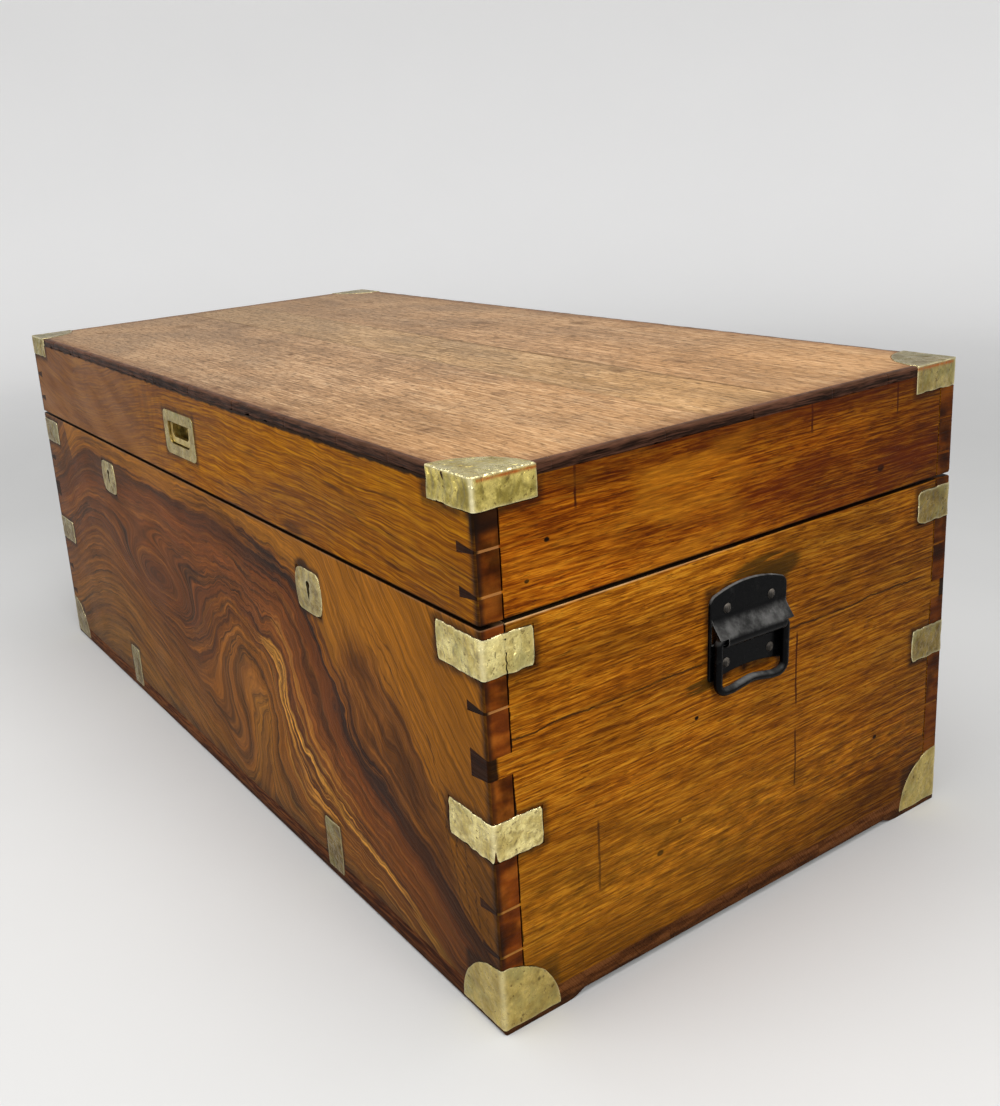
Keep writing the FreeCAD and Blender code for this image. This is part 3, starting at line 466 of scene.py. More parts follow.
def end_board(name, seed, tones, rear, boxes, pins, gap, cracks=(), holes=()):
    """An end board, grain front to back, painted darker towards the back as shade, rear times as light there.
    boxes are the fittings that dirt and a painted shadow gather round, pins the (height, half width) of the
    dovetails that run through, gap how black the shoulder between them is painted as shade, cracks (y, low z,
    high z), holes of nails and knots (y, z, radius)."""
    wood = Finish(name)
    x, y, z = wood.axes(wood.place)
    face, height = straight_wood(wood, y, z, tones, seed, contrast=0.78)
    patch = wood.drawn(y, z, 6.0, 13.0, seed + 8, 5.0)
    cloud = wood.drawn(y, z, 19.0, 40.0, seed + 7, 4.0)
    face = wood.shade(face, wood.spread(patch, 0.76, 1.20) * wood.spread(cloud, 0.86, 1.12))
    # painted shade: darker towards the back, by the factor rear
    face = wood.shade(face, wood.spread(wood.rise(y, -0.10, 0.26), 1.0, rear))
    flecks = wood.larger(wood.drawn(y, z, 40.0, 240.0, seed + 9, 3.0, 0.65, 0.71),
                         wood.drawn(y, z, 70.0, 620.0, seed + 10, 2.0, 0.58, 0.66))
    face = wood.mix(flecks * 0.62, face, (60, 22, 6))
    threads = wood.drawn(y, z, 14.0, 340.0, seed + 11, 3.0, 0.54, 0.70)
    lightest = tones[-1][1]
    face = wood.mix(threads * 0.42, face, wood.shade(lightest, 1.08))
    outside = outer_face(wood, x, inside_end_board)
    face = dirt_and_shadow_ring(wood, face, y, z, boxes, outside)

    wobble, fade = wood.patchy(60.0, -0.0015, 0.0015), 0.004
    for crack_y, low, high in cracks:
        near = abs(y + wobble - crack_y)
        between = wood.rise(z, low - fade, low + fade) * wood.rise(z, high + fade, high - fade)
        face = wood.mix(wood.rise(near, 0.0016, 0.0006) * between * 0.9, face, (58, 20, 8))
    for hole_y, hole_z, radius in holes:
        spot = wood.hill(wood.place, (0, hole_y, hole_z), (any_depth, 1.4 * radius, radius))
        face = wood.mix(wood.rise(spot, 0.2, 0.6), face, (20, 8, 4))

    ragged = wood.spread(wood.noise(wood.join(0.0, 0.0, z * 45.0), detail=4.0), -0.0035, 0.0030)
    on_any, on_wide = 0.0, 0.0
    for pin_z, half in pins:
        on_pin = wood.rise(abs(z - pin_z), half + 0.001, half)
        on_any = wood.larger(on_any, on_pin)
        on_wide = wood.larger(on_wide, on_pin * float(half == wide_pin))
    # painted shade: the shoulder gap between tails and pins painted near black, wider than the real gap
    shoulder = (wood.rise(abs(y) + ragged, 0.2418, 0.2425) * wood.rise(abs(y), 0.2440, 0.2434)
                * wood.spread(on_any, gap, 0.0))
    face = wood.mix(shoulder, face, (8, 5, 3))
    pin_side = wood.rise(y, -0.2436, -0.2446) * wood.spread(on_wide, 0.65, 0.0)
    face = wood.mix(pin_side, face, (186, 132, 78))
    tip_from = wood.spread(on_wide, 0.2590, 0.2540)
    face = wood.mix(wood.rise(abs(y) + ragged - tip_from, 0.0, 0.003) * 0.96, face, (16, 9, 6))
    black = wood.shade(end_grain(wood, seed + 5), wood.patchy(120.0, 0.02, 0.18))
    colour = wood.mix(sawn_end(wood, 1), face, black)
    return wood, colour, wood.patchy(25.0, 0.36, 0.54), height, outside


def base_end(name, seed, *marks):
    """An end of the base: a wavy joint across it, olive and rippled low down, spilt polish by the handle with
    a painted shadow by its lower left, and a painted highlight along the top edge at the front.
    """
    boxes = [(-0.241, 0.309, 0.023, 0.016), (0.241, 0.309, 0.023, 0.016), (-0.241, 0.165, 0.023, 0.016),
             (0.241, 0.174, 0.023, 0.016), (-0.250, 0.030, 0.036, 0.016), (0.250, 0.030, 0.036, 0.016),
             (-0.0025, 0.262, 0.0435, 0.038)]
    pins = [(0.069, narrow_pin), (0.107, narrow_pin), (0.165, narrow_pin), (0.224, wide_pin),
            (0.269, narrow_pin)]
    wood, colour, gloss, height, outside = end_board(name, seed, golden, 0.58, boxes, pins, 0.97, *marks)
    y, z = wood.axes(wood.place)[1:]
    joint_z, sway = 0.242, 0.007
    wave = wood.spread(wood.noise(wood.join(y * 14.0, 0.0, seed), detail=6.0, roughness=0.65), -sway, sway)
    broken = wood.drawn(y, 0.0, 9.0, 1.0, seed, 2.0, 0.38, 0.52)
    joint = wood.rise(abs(z + wave - joint_z), 0.0013, 0.0004) * broken
    colour = wood.mix(joint * 0.85, colour, dark_brown)
    flat = wood.rise(wood.facing(1), 0.9, 0.75)
    olive = wood.rise(z, 0.20, 0.07) * wood.rise(y, 0.20, -0.10) * flat * 0.35
    grain = wood.spread(wood.drawn(y, z, 20.0, 420.0, seed + 15, 3.0), 0.68, 1.32)
    colour = wood.mix(olive, colour, wood.shade((158, 106, 28), grain))
    low = wood.rise(z, 0.085, 0.02) * wood.patchy(30.0, 0.1, 0.85) * flat
    colour = wood.shade(colour, wood.spread(low, 1.0, 0.30))
    ripples = wood.drawn(y + z * 1.3, z - y * 0.25, 34.0, 95.0, seed + 12, 3.0)
    rippled = wood.hill(wood.place, (0, 0, 0.088), (any_depth, any_depth, 0.036)) * (ripples - 0.5) * flat
    colour = wood.shade(colour, rippled * 0.75 + 1.0)
    stroke = wood.drawn(y + z * 0.6, z, 12.0, 200.0, seed + 6, 2.0, 0.28, 0.50)
    # polish spilt above the handle, and a painted shadow by the plate's lower left
    spill_and_shadow = wood.larger(wood.hill(wood.place, (0, 0.020, 0.303), (any_depth, 0.038, 0.012)),
                        wood.hill(wood.place, (0, -0.056, 0.223), (any_depth, 0.020, 0.006)) * 0.8)
    colour = wood.mix(wood.rise(spill_and_shadow * stroke, 0.18, 0.42) * outside * 0.86, colour, (66, 44, 7))
    # painted highlight: a pale worn line along the top edge, strongest at the front
    rubbed_highlight = wood.rise(z, 0.3300, 0.3312) * wood.patchy(35.0, -0.2, 1.2) * wood.rise(y, 0.10, -0.22)
    colour = wood.mix(rubbed_highlight * outside, colour, (236, 196, 140))
    return wood.waxed(rim_dust_and_gap_shade(wood, colour, outside), gloss, height, 0.0003)


right_cracks = [(0.0584, 0.170, 0.236), (0.0584, 0.092, 0.146), (-0.166, 0.086, 0.146)]
right_holes = [(-0.102, 0.091, 0.0026), (-0.060, 0.197, 0.0017), (0.168, 0.100, 0.0020),
               (-0.080, 0.112, 0.0015)]
dress("base_end_right", base_end("base_end_right_wood", 31.0, right_cracks, right_holes))
dress("base_end_left", base_end("base_end_left_wood", 47.0))


def back_board(name, seed):
    """The plain back: the same wood, duller, with grain along the chest."""
    wood = Finish(name)
    x, y, z = wood.axes(wood.place)
    face, height = straight_wood(wood, x, z, golden, seed, 0.02)
    face = wood.shade(face, wood.patchy(7.0, 0.5, 1.1))
    # the tails' ends darker still, as painted shade at the back corner
    tails = wood.shade(end_grain(wood, seed), 0.45)
    colour = wood.mix(sawn_end(wood, 0), face, tails)
    return wood.waxed(rim_dust_and_gap_shade(wood, colour, outer_face(wood, y, inside_long_board)), 0.5, height, 0.0004)


dress("base_back", back_board("base_back_wood", 61.0))


# Brasses of the base: straps bent round the corners, quarter-round foot caps, and two straps up the front's
# lower edge. Sheet brass cut by hand, let in and pinned; tarnished, dented, and rubbed bright at its edges,
# with painted highlights on the edges and bends.

def brass_finish(name, bright, dull, speck, creased=1.0):
    """Tarnished brass: cloudy colour, brown specks, bright edges and bends where the attribute for wear and
    glint says so, rubbed by wear and painted as a highlight, copper where seam does, black where crack does,
    and creases like handled foil, more or less of them."""
    metal = Finish(name)
    cloud = metal.rise(metal.noise(metal.place, 60.0, 5.0, 0.68), 0.36, 0.64)
    mottle = metal.spread(metal.noise(metal.place, 210.0, 4.0, 0.6), 0.55, 1.35)
    colour = metal.shade(metal.mix(cloud, dull, bright), mottle)
    green = metal.rise(metal.noise(metal.place, 33.0), 0.50, 0.68) * 0.45
    colour = metal.mix(green, colour, (158, 154, 100))
    specks = metal.rise(metal.noise(metal.place, 300.0, 3.0, 0.6), 0.62, 0.70)
    blots = metal.rise(metal.noise(metal.place, 95.0, 4.0, 0.65), 0.62, 0.70)
    marks = metal.larger(specks * 0.70, blots * 0.65)
    colour = metal.mix(marks, colour, speck)
    wear_and_glint, crack, seam = (metal.field("ShaderNodeAttribute", output="Fac", attribute_name=mark)
                         for mark in ("wear_and_glint", "crack", "seam"))
    patchy = metal.patchy(160.0, 0.1, 1.3)
    rubbed_highlight, dark = wear_and_glint * patchy, metal.rise(crack, 0.3, 0.7)
    # bright edges and bends: rubbed wear and a painted highlight
    colour = metal.mix(rubbed_highlight, colour, (255, 244, 196))
    colour = metal.mix(seam * patchy, colour, (176, 104, 48))
    colour = metal.mix(dark, colour, (34, 24, 12))
    rough = metal.spread(cloud, 0.38, 0.26) + marks * 0.20 - rubbed_highlight * 0.06 + dark * 0.4
    crumple = metal.noise(metal.place, 70.0, 2.0)
    folds = abs(metal.noise(metal.place, 120.0, 3.0, 0.5) - 0.5)
    scratches = metal.noise(metal.place, 520.0, 2.0)
    height = crumple * creased + folds * (1.2 * creased) + scratches * 0.05 - marks * 0.10
    return metal.paint(colour, rough, height, 0.0024, soft=0.0006, Metallic=1.0)


brass = brass_finish("tarnished_brass", (244, 228, 156), (196, 176, 106), (100, 76, 40), 1.2)
old_brass = brass_finish("old_brass", (152, 130, 72), (112, 92, 46), (66, 48, 24), 0.9)
foot_brass = brass_finish("foot_brass", (206, 184, 108), (172, 150, 82), (92, 68, 34), 0.5)
corners = {"front_right": (1, 1), "front_left": (-1, 1), "back_right": (1, -1), "back_left": (-1, -1)}
bend_x, bend_y, bend_radius = 0.525, -0.2615, 0.003
bend_inset = 0.0025                      # the bend's middle, in from the boards' corner
half_bend = bend_radius * math.pi / 4
sheet_depth, sheet_pitch, rim_radius = 0.0014, 0.0009, 0.00045
rim_shares = np.array([0.0, 0.08, 0.25, 0.55, 1.0])
hand_cut, cut_in = 0.0007, 0.0004        # how far a cut edge strays, and how far in it is drawn
bright_rim = 0.0007                      # how wide its edges are rubbed bright and painted with a highlight
sharp_angle = math.radians(38)           # edges that turn by more than this stay crisp


def bell(value, reach):
    """1 at nothing, falling off either way: e to the minus square of the value in reaches."""
    return np.exp(-(value / reach) ** 2)


def corner_plan(run, sink):
    """Plan of a brass bent round the front right corner. run is the unrolled distance from the middle of the
    bend, negative along the front; the bend is a quarter circle. sink is the depth below the outer face."""
    turn = np.clip(run / bend_radius, -math.pi / 4, math.pi / 4) - math.pi / 4
    reach = bend_radius - sink
    x = bend_x + reach * np.cos(turn) - np.maximum(-run - half_bend, 0)
    y = bend_y + reach * np.sin(turn) + np.maximum(run - half_bend, 0)
    return x, y


def waves(values, seed, reach, shortest=0.009, longest=0.045):
    """A hand-cut edge: a sum of sine waves of seeded length, size and phase, between plus and minus reach."""
    rng = np.random.default_rng(seed)
    count, swell = 8, 1.6
    length, phase = rng.uniform(shortest, longest, count), rng.uniform(0, 2 * np.pi, count)
    size = rng.uniform(0.3, 1.0, count)
    total = (size * np.sin(2 * np.pi * values[..., None] / length + phase)).sum(-1)
    return reach * total / size.sum() * swell


def dents(a, b, seed, deep):
    """Hammer and pry marks: plane sine waves summed over the sheet, pressed in only, from 0 to deep."""
    rng = np.random.default_rng(seed)
    count = 12
    angle, phase = rng.uniform(0, np.pi, count), rng.uniform(0, 2 * np.pi, count)
    length = rng.uniform(0.006, 0.030, count)
    along = a[..., None] * np.cos(angle) + b[..., None] * np.sin(angle)
    total = np.sin(2 * np.pi * along / length + phase).sum(-1) / 3
    return deep * (0.5 + 0.5 * np.tanh(total))


def rim_drop(edge, radius=rim_radius):
    """How far a rounded rim falls below the face, at a distance edge in from it: a quarter circle."""
    short = np.clip(radius - edge, 0, radius)
    return radius - np.sqrt(np.maximum(radius ** 2 - short ** 2, 0))


def steps(low, high, pitch=sheet_pitch):
    """Places from low to high, close together at both ends where the rim is rounded."""
    close, margin = rim_shares * rim_radius, 0.0011
    inner = np.linspace(low + margin, high - margin, max(int((high - low) / pitch), 4))
    return np.concatenate([low + close, inner, high - close[::-1]])


def bend_runs(low, high):
    """Unrolled places along a bent brass, close together at its ends and evenly round the bend."""
    flat_from, round_to, close = 0.0035, 0.0034, len(rim_shares)
    front, end = steps(low, -flat_from)[:-close], steps(flat_from, high)[close:]
    return np.concatenate([front, np.linspace(-round_to, round_to, 15), end])


def closed_sheet(outer, inner, loop=False):
    """Points and faces of a thin shell: two grids of one shape, joined round their rims.
    loop means that the last column runs on into the first."""
    rows, columns = outer.shape[:2]
    count = rows * columns
    index = np.arange(count).reshape(rows, columns)
    wide = np.concatenate([index, index[:, :1]], 1) if loop else index
    face = np.stack([wide[:-1, :-1], wide[1:, :-1], wide[1:, 1:], wide[:-1, 1:]], -1).reshape(-1, 4)
    if loop:
        rims = [index[0], index[-1, ::-1]]
    else:
        rims = [np.concatenate([index[0, :-1], index[:-1, -1], index[-1, :0:-1], index[:0:-1, 0]])]
    sides = [np.stack([rim, np.roll(rim, -1), np.roll(rim, -1) + count, rim + count], -1) for rim in rims]
    points = np.concatenate([outer.reshape(-1, 3), inner.reshape(-1, 3)])
    return points, np.concatenate([face, face[:, ::-1] + count, *sides])


def bent_sheet(run, sink, z, corner):
    """A sheet bent round a corner: its outer face sunk by its rims and dents, its inner face plain."""
    turn = np.array([*corners[corner], 1.0])
    outer = np.stack([*corner_plan(run, sink), z], -1)
    inner = np.stack([*corner_plan(run, sheet_depth), z], -1)
    return closed_sheet(outer * turn, inner * turn)


def flat_sheet(x, sink, z, face_y, loop=False):
    """A sheet flat on the front: outer face at face_y, sunk by its rims and dents, inner face plain."""
    outer = np.stack([x, face_y + sink, z], -1)
    inner = np.stack([x, np.full_like(x, face_y + sheet_depth), z], -1)
    return closed_sheet(outer, inner, loop)


def add_piece(name, body, replaced, material, shape, marks=()):
    """A new piece on a CAD body, faces turned outwards. marks are (attribute, value for each point)."""
    points, faces = shape
    a, b, c, d = (points[faces[:, k]] for k in range(4))
    volume = (a * np.cross(b, c)).sum() + (a * np.cross(c, d)).sum()
    faces = faces if volume > 0 else faces[:, ::-1]
    mesh = bpy.data.meshes.new(name)
    mesh.from_pydata(points.tolist(), [], faces.tolist())
    mesh.validate()
    mesh.shade_smooth()
    mesh.set_sharp_from_angle(angle=sharp_angle)
    for attribute, values in marks:
        layer = mesh.attributes.new(attribute, "FLOAT", "POINT")
        full = np.zeros(len(points), np.float32)
        full[:values.size] = values.ravel()
        layer.data.foreach_set("value", full)
    mesh.materials.append(material)
    piece = bpy.data.objects.new(name, mesh)
    bpy.context.scene.collection.objects.link(piece)
    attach(piece, body)
    if replaced:
        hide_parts(*replaced)


def pin_heads(a, b, places, radius=0.0011):
    """Brass pins filed flush with the sheet: a bell-shaped dark mark at each place."""
    return np.maximum.reduce([0.52 * bell(np.hypot(a - at, b - up), radius) for at, up in places])


def bent_strap(node, corner, seed, clip=0.002, split=0.0, crack=None, deep=0.00035):
    """A strap round a corner, from low to high between two hand-cut edges, its ends' corners clipped.
    split is the height of a tear up from the lower edge at the bend; crack is (run, low, high) shares."""
    low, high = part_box(node)
    front_leg, end_leg, tall = 0.057, 0.046, high.z - low.z
    run_low, run_high = -(front_leg - bend_inset + half_bend), end_leg - bend_inset + half_bend
    run, share = np.meshgrid(bend_runs(run_low, run_high), steps(0.0, tall) / tall)
    bottom = low.z + cut_in + waves(run, seed, hand_cut) + split * bell(run - 0.0015, 0.0013)
    top = high.z - cut_in + waves(run, seed + 1, hand_cut)
    z = bottom + (top - bottom) * share
    far = np.clip(np.abs(run) / np.where(run < 0, -run_low, run_high), 0, 1)
    pull = clip * np.abs(2 * share - 1) ** 9 + 0.0006 + waves(z, seed + 2, 0.0006)
    edge = np.minimum.reduce([z - bottom, top - z, run - run_low, run_high - run])
    sink = rim_drop(edge) + dents(run, z, seed + 3, deep)
    # edges and the bend painted bright: wear and a painted highlight
    wear_and_glint = 0.9 * np.exp(-edge / bright_rim) + 0.55 * bell(run, 0.003)
    tear = pin_heads(run, z, [(0.009 - front_leg, low.z + 0.008), (0.009 - front_leg, high.z - 0.008),
                              (0.0186, high.z - 0.0045), (end_leg - 0.009, low.z + 0.009)])
    if crack:
        at, start, end = crack
        long = bell(run - at - 0.0004 * np.sin(z * 900), 0.0007) * ((share > start) & (share < end))
        short = bell(run - 0.55 * at, 0.0006) * ((share > 0.48) & (share < 0.66))
        hole = bell(run - at, 0.0012) * bell(z - high.z + 0.005, 0.0010)
        tear = np.maximum.reduce([tear, long, 0.8 * short, hole])
    shape = bent_sheet(run - np.sign(run) * pull * far ** 4, sink, z, corner)
    metal = brass if corner == "front_right" else old_brass
    add_piece(node + "_sheet", "base", [node], metal, shape,
              [("wear_and_glint", wear_and_glint), ("crack", tear)])


def foot_cap(node, corner, seed, radius=0.054):
    """A quarter-round cap: its top edge is a circle about the corner's foot, unrolled round the bend."""
    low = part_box(node)[0]
    swing = np.radians(np.linspace(-88.6, 88.6, 141))
    run = np.sort(np.concatenate([radius * np.sin(swing), np.linspace(-0.0032, 0.0032, 12)]))
    run, share = np.meshgrid(run, steps(0.0, radius, 0.0011) / radius)
    foot = low.z + 0.0003 + waves(run, seed, 0.0004)
    crown = np.sqrt(radius ** 2 - run ** 2) + waves(np.arcsin(run / radius) * radius, seed + 1, hand_cut)
    z = foot + (crown - 0.0008) * share
    edge = np.minimum(radius - np.hypot(run, z - foot), z - foot).clip(0)
    edge = np.where(share == 1, 0, edge)
    sink = rim_drop(edge) + dents(run, z, seed + 2, 0.00028)
    # edges and the bend painted bright: wear and a painted highlight
    wear_and_glint = 0.7 * np.exp(-edge / bright_rim) + 0.4 * bell(run, 0.003)
    spot = 0.55 * bell(run - 0.034, 0.0028) * bell(z - foot - 0.031, 0.0034)
    spot = np.maximum(spot, pin_heads(run, z - foot, [(-0.041, 0.014), (-0.018, 0.034), (0.018, 0.034)]))
    metal = foot_brass if "right" in corner else old_brass
    add_piece(node + "_sheet", "base", [node], metal, bent_sheet(run, sink, z, corner),
              [("wear_and_glint", wear_and_glint), ("crack", spot)])


for number, corner in enumerate(corners):
    near, seed = corner == "front_right", 40 * number
    bent_strap("upper_strap_" + corner, corner, seed + 1, clip=0.007 if corner == "back_right" else 0.002,
               crack=(0.0205, -0.1, 0.55) if near else None)
    bent_strap("middle_strap_" + corner, corner, seed + 11, split=0.010 if near else 0.0, deep=0.00042)
    foot_cap("bottom_cap_" + corner, corner, seed + 21)


def flat_strap(node, seed):
    """A plain upright strap on the front: a rectangle with hand-cut edges."""
    low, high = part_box(node)
    x, z = np.meshgrid(steps(low.x, high.x), steps(low.z, high.z))
    middle_x, middle_z, half_tall = (low.x + high.x) / 2, (low.z + high.z) / 2, (high.z - low.z) / 2
    edge = np.minimum.reduce([x - low.x, high.x - x, z - low.z, high.z - z])
    sink = rim_drop(edge) + dents(x, z, seed, 0.0003)
    wide = 0.97 + waves(z, seed + 1, 0.035) - 0.10 * np.abs((z - middle_z) / half_tall) ** 9
    stray = waves(x, seed + 2, 0.0006) * np.where(z > middle_z, 1, 0.3) - 0.0005
    pins = pin_heads(x, z, [(middle_x, low.z + 0.012), (middle_x, high.z - 0.009)])
    # edges painted bright: wear and a painted highlight
    add_piece(node + "_sheet", "base", [node], old_brass,
              flat_sheet(middle_x + (x - middle_x) * wide, sink, z + stray, low.y),
              [("wear_and_glint", 0.6 * np.exp(-edge / bright_rim)), ("crack", pins)])


flat_strap("edge_strap_left", 301)
flat_strap("edge_strap_right", 311)


# Keyhole plates. Small cut plates with bowed sides, pinned over the keyholes and rubbed bright by the key;
# the mouth of the keyhole is black with dirt.

keyhole_brass = brass_finish("keyhole_brass", (196, 176, 112), (132, 112, 64), (66, 48, 26), 0.9)


def keyhole_plate(node, seed):
    """A ring between two outlines: the keyhole, a round bore over a slot, and the plate's bowed rectangle.
    Both are given by their distance from the bore's middle in each direction."""
    low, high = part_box(node)
    bore, slot, foot, bore_up = 0.0027, 0.0019, 0.0153, 0.0063
    half_wide, bow, squareness = 0.0198, 0.0043, 0.28
    middle_x, bore_z = (low.x + high.x) / 2, (low.z + high.z) / 2 + bore_up
    half_tall = (high.z - low.z) / 2 - 0.0005
    around = np.linspace(0, 2 * np.pi, 260, endpoint=False)
    rise, wide = np.sin(around), np.cos(around)
    up = np.sign(rise) * np.abs(rise) ** squareness
    side = np.sign(wide) * np.abs(wide) ** squareness
    rim_z = up * half_tall - bore_up + waves(around * 0.02, seed, 0.0006)
    rim_x = side * (half_wide + bow * (1 - up ** 2)) + waves(around * 0.02, seed + 1, 0.0006)
    angle = np.arctan2(np.abs(rim_x), -rim_z)
    hole = np.where(angle < math.atan(slot / foot), foot / np.cos(np.minimum(angle, 1.0)),
                    np.where(angle < math.asin(slot / bore), slot / np.sin(np.maximum(angle, 0.05)), bore))
    reach = np.hypot(rim_x, rim_z)
    share = np.concatenate([[0, 0.01, 0.025, 0.05], np.linspace(0.1, 0.95, 16), [0.97, 0.985, 0.995, 1]])
    far = hole + (reach - hole) * share[:, None]
    x, z = middle_x + far * rim_x / reach, bore_z + far * rim_z / reach
    edge = np.minimum(far - hole, reach - far)
    sink = rim_drop(edge) + dents(x, z, seed + 2, 0.0003)
    # a painted highlight along the edges, and rubbed bright by the key round the keyhole
    wear_and_glint = 0.5 * np.exp(-edge / 0.0008) + 0.5 * np.exp(-(far - hole) / 0.003)
    pin_places = [(s * 0.0165, t * 0.0155) for s in (-1, 1) for t in (-1, 1)]
    pins = pin_heads(x - middle_x, z - bore_z + bore_up, pin_places)
    mouth = 0.75 * bell(far - hole, 0.0013)
    add_piece(node + "_sheet", "base", [node], keyhole_brass,
              flat_sheet(x, sink, z, low.y, loop=True), [("wear_and_glint", wear_and_glint), ("crack", np.maximum(pins, mouth))])


keyhole_plate("escutcheon_left", 331)
keyhole_plate("escutcheon_right", 341)


# Locks and hinges. Dull yellow brass fittings hidden inside: lock cases and bolts in the front board, strike
# plates with staples in the lid, two butt hinges let into the back edges, and the slotted screws of them all.

inner_brass = brass_finish("inner_brass", (186, 158, 90), (146, 120, 64), (80, 58, 30), 0.3)
for name in nodes:
    if name.startswith(("lock_", "hinge_")):
        dress(name, inner_brass)


def screw_heads(name, body, places, face_z, up, seed, radius=0.0030, proud=0.0007):
    """Slotted raised heads: a square grid turned into a disc and domed, its middle columns pressed in as the
    slot. places are the (x, y) of each; face_z is what they stand on; up, 1 or -1, is the way they face."""
    rng = np.random.default_rng(seed)
    slot_edge, slot_wall, slot_floor, root = 0.14, 0.19, 0.00015, 0.0005
    columns = np.concatenate([np.linspace(-1, -slot_wall, 9), [-slot_edge, 0.0, slot_edge],
                              np.linspace(slot_wall, 1, 9)])
    a, b = np.meshgrid(columns, np.linspace(-1, 1, 19))
    u, v = a * np.sqrt(1 - b ** 2 / 2), b * np.sqrt(1 - a ** 2 / 2)
    slotted = np.abs(a) < (slot_edge + slot_wall) / 2
    dome = np.where(slotted, slot_floor, proud * (1 - 0.75 * (u ** 2 + v ** 2)))
    shapes = []
    for x, y in places:
        turn = rng.uniform(0, np.pi)
        east = x + radius * (u * math.cos(turn) - v * math.sin(turn))
        north = y + radius * (u * math.sin(turn) + v * math.cos(turn))
        shapes.append(closed_sheet(np.stack([east, north, face_z + up * dome], -1),
                                   np.stack([east, north, np.full_like(u, face_z - up * root)], -1)))
    points = np.concatenate([shape[0] for shape in shapes])
    faces = np.concatenate([shape[1] + 2 * u.size * k for k, shape in enumerate(shapes)])
    dark = np.tile(np.concatenate([slotted.ravel() * 0.62, np.zeros(slotted.size)]), len(places))
    add_piece(name, body, [], inner_brass, (points, faces), [("crack", dark)])


base_rim, lid_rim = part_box("base_front")[1].z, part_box("lid_front")[0].z
leaf_screws, case_screws = [], []
for side in ("left", "right"):
    low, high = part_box("hinge_base_leaf_" + side)
    leaf_screws += [((low.x + high.x) / 2 + off, low.y + 0.0063) for off in (-0.022, 0.0, 0.022)]
    low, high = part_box("lock_case_" + side)
    case_screws += [(x, (low.y + high.y) / 2) for x in (low.x + 0.009, high.x - 0.009)]
screw_heads("hinge_screws_base", "base", leaf_screws, base_rim, 1, 361)
screw_heads("hinge_screws_lid", "lid", leaf_screws, lid_rim, -1, 362)
screw_heads("lock_screws", "base", case_screws, base_rim, 1, 363)
screw_heads("strike_screws", "lid", case_screws, lid_rim, -1, 364)


# Iron drop handles on the ends. Plates pressed from black japanned sheet, with a swelling that holds the
# turned-in ends of a round iron bail; slotted round-head screws fix them.

def japanned_iron(name, base, rubbed_highlight):
    """Black japan over iron: grey on its edges and on what faces up, where hands and dust rub it and where a
    highlight is painted.
    """
    metal = Finish(name)
    cloud = metal.noise(metal.place, 140.0, 4.0, 0.65)
    scuffs = metal.rise(metal.noise(metal.place, 60.0, 5.0, 0.7), 0.54, 0.70)
    # painted highlight and wear on what faces up and on the edges
    upward = metal.rise(metal.axes(metal.normal)[2], 0.10, 0.95)
    patches = metal.rise(metal.noise(metal.place, 45.0, 4.0, 0.65), 0.36, 0.62)
    wear_and_highlight = metal.edges(0.0011) * 0.75 + upward * 0.55 + scuffs * 0.04
    wear_and_highlight = wear_and_highlight * metal.spread(cloud, 0.3, 1.3) * metal.spread(patches, 0.25, 1.0)
    colour = metal.mix(wear_and_highlight, metal.shade(base, metal.spread(cloud, 0.5, 1.5)), rubbed_highlight)
    return metal.paint(colour, metal.spread(cloud, 0.14, 0.36), metal.noise(metal.place, 180.0), 0.00015,
                       soft=0.0013, Specular_IOR_Level=0.06)


iron = japanned_iron("japanned_iron", (3, 3, 4), (158, 157, 154))
for side in ("left", "right"):
    dress("handle_plate_" + side, iron)
    dress("handle_bail_" + side, iron)
dress("handle_screws", japanned_iron("screw_iron", (50, 47, 44), (186, 174, 160)))


# Lid sides. The same golden camphorwood as the ends of the base; the front board's left half has a hazy
# bloom of dust with a painted reflection, and the right end board is redder and darker towards the back and
# the top, the darkening at the back being painted shade.

lid_stains = [(0.247, 0.341, 0.026, 0.006), (0.417, 0.350, 0.018, 0.0022), (0.140, 0.352, 0.030, 0.0014),
              (0.330, 0.396, 0.024, 0.0014)]


def lid_edge_gap_shade(wood, colour, z, outside):
    """The lid's lower edge, painted dark where it meets the base: painted shade of the gap between them."""
    return rim_dust_and_gap_shade(wood, wood.mix(wood.rise(z, 0.3364, 0.3352) * outside * 0.8, colour, dark_brown), outside)


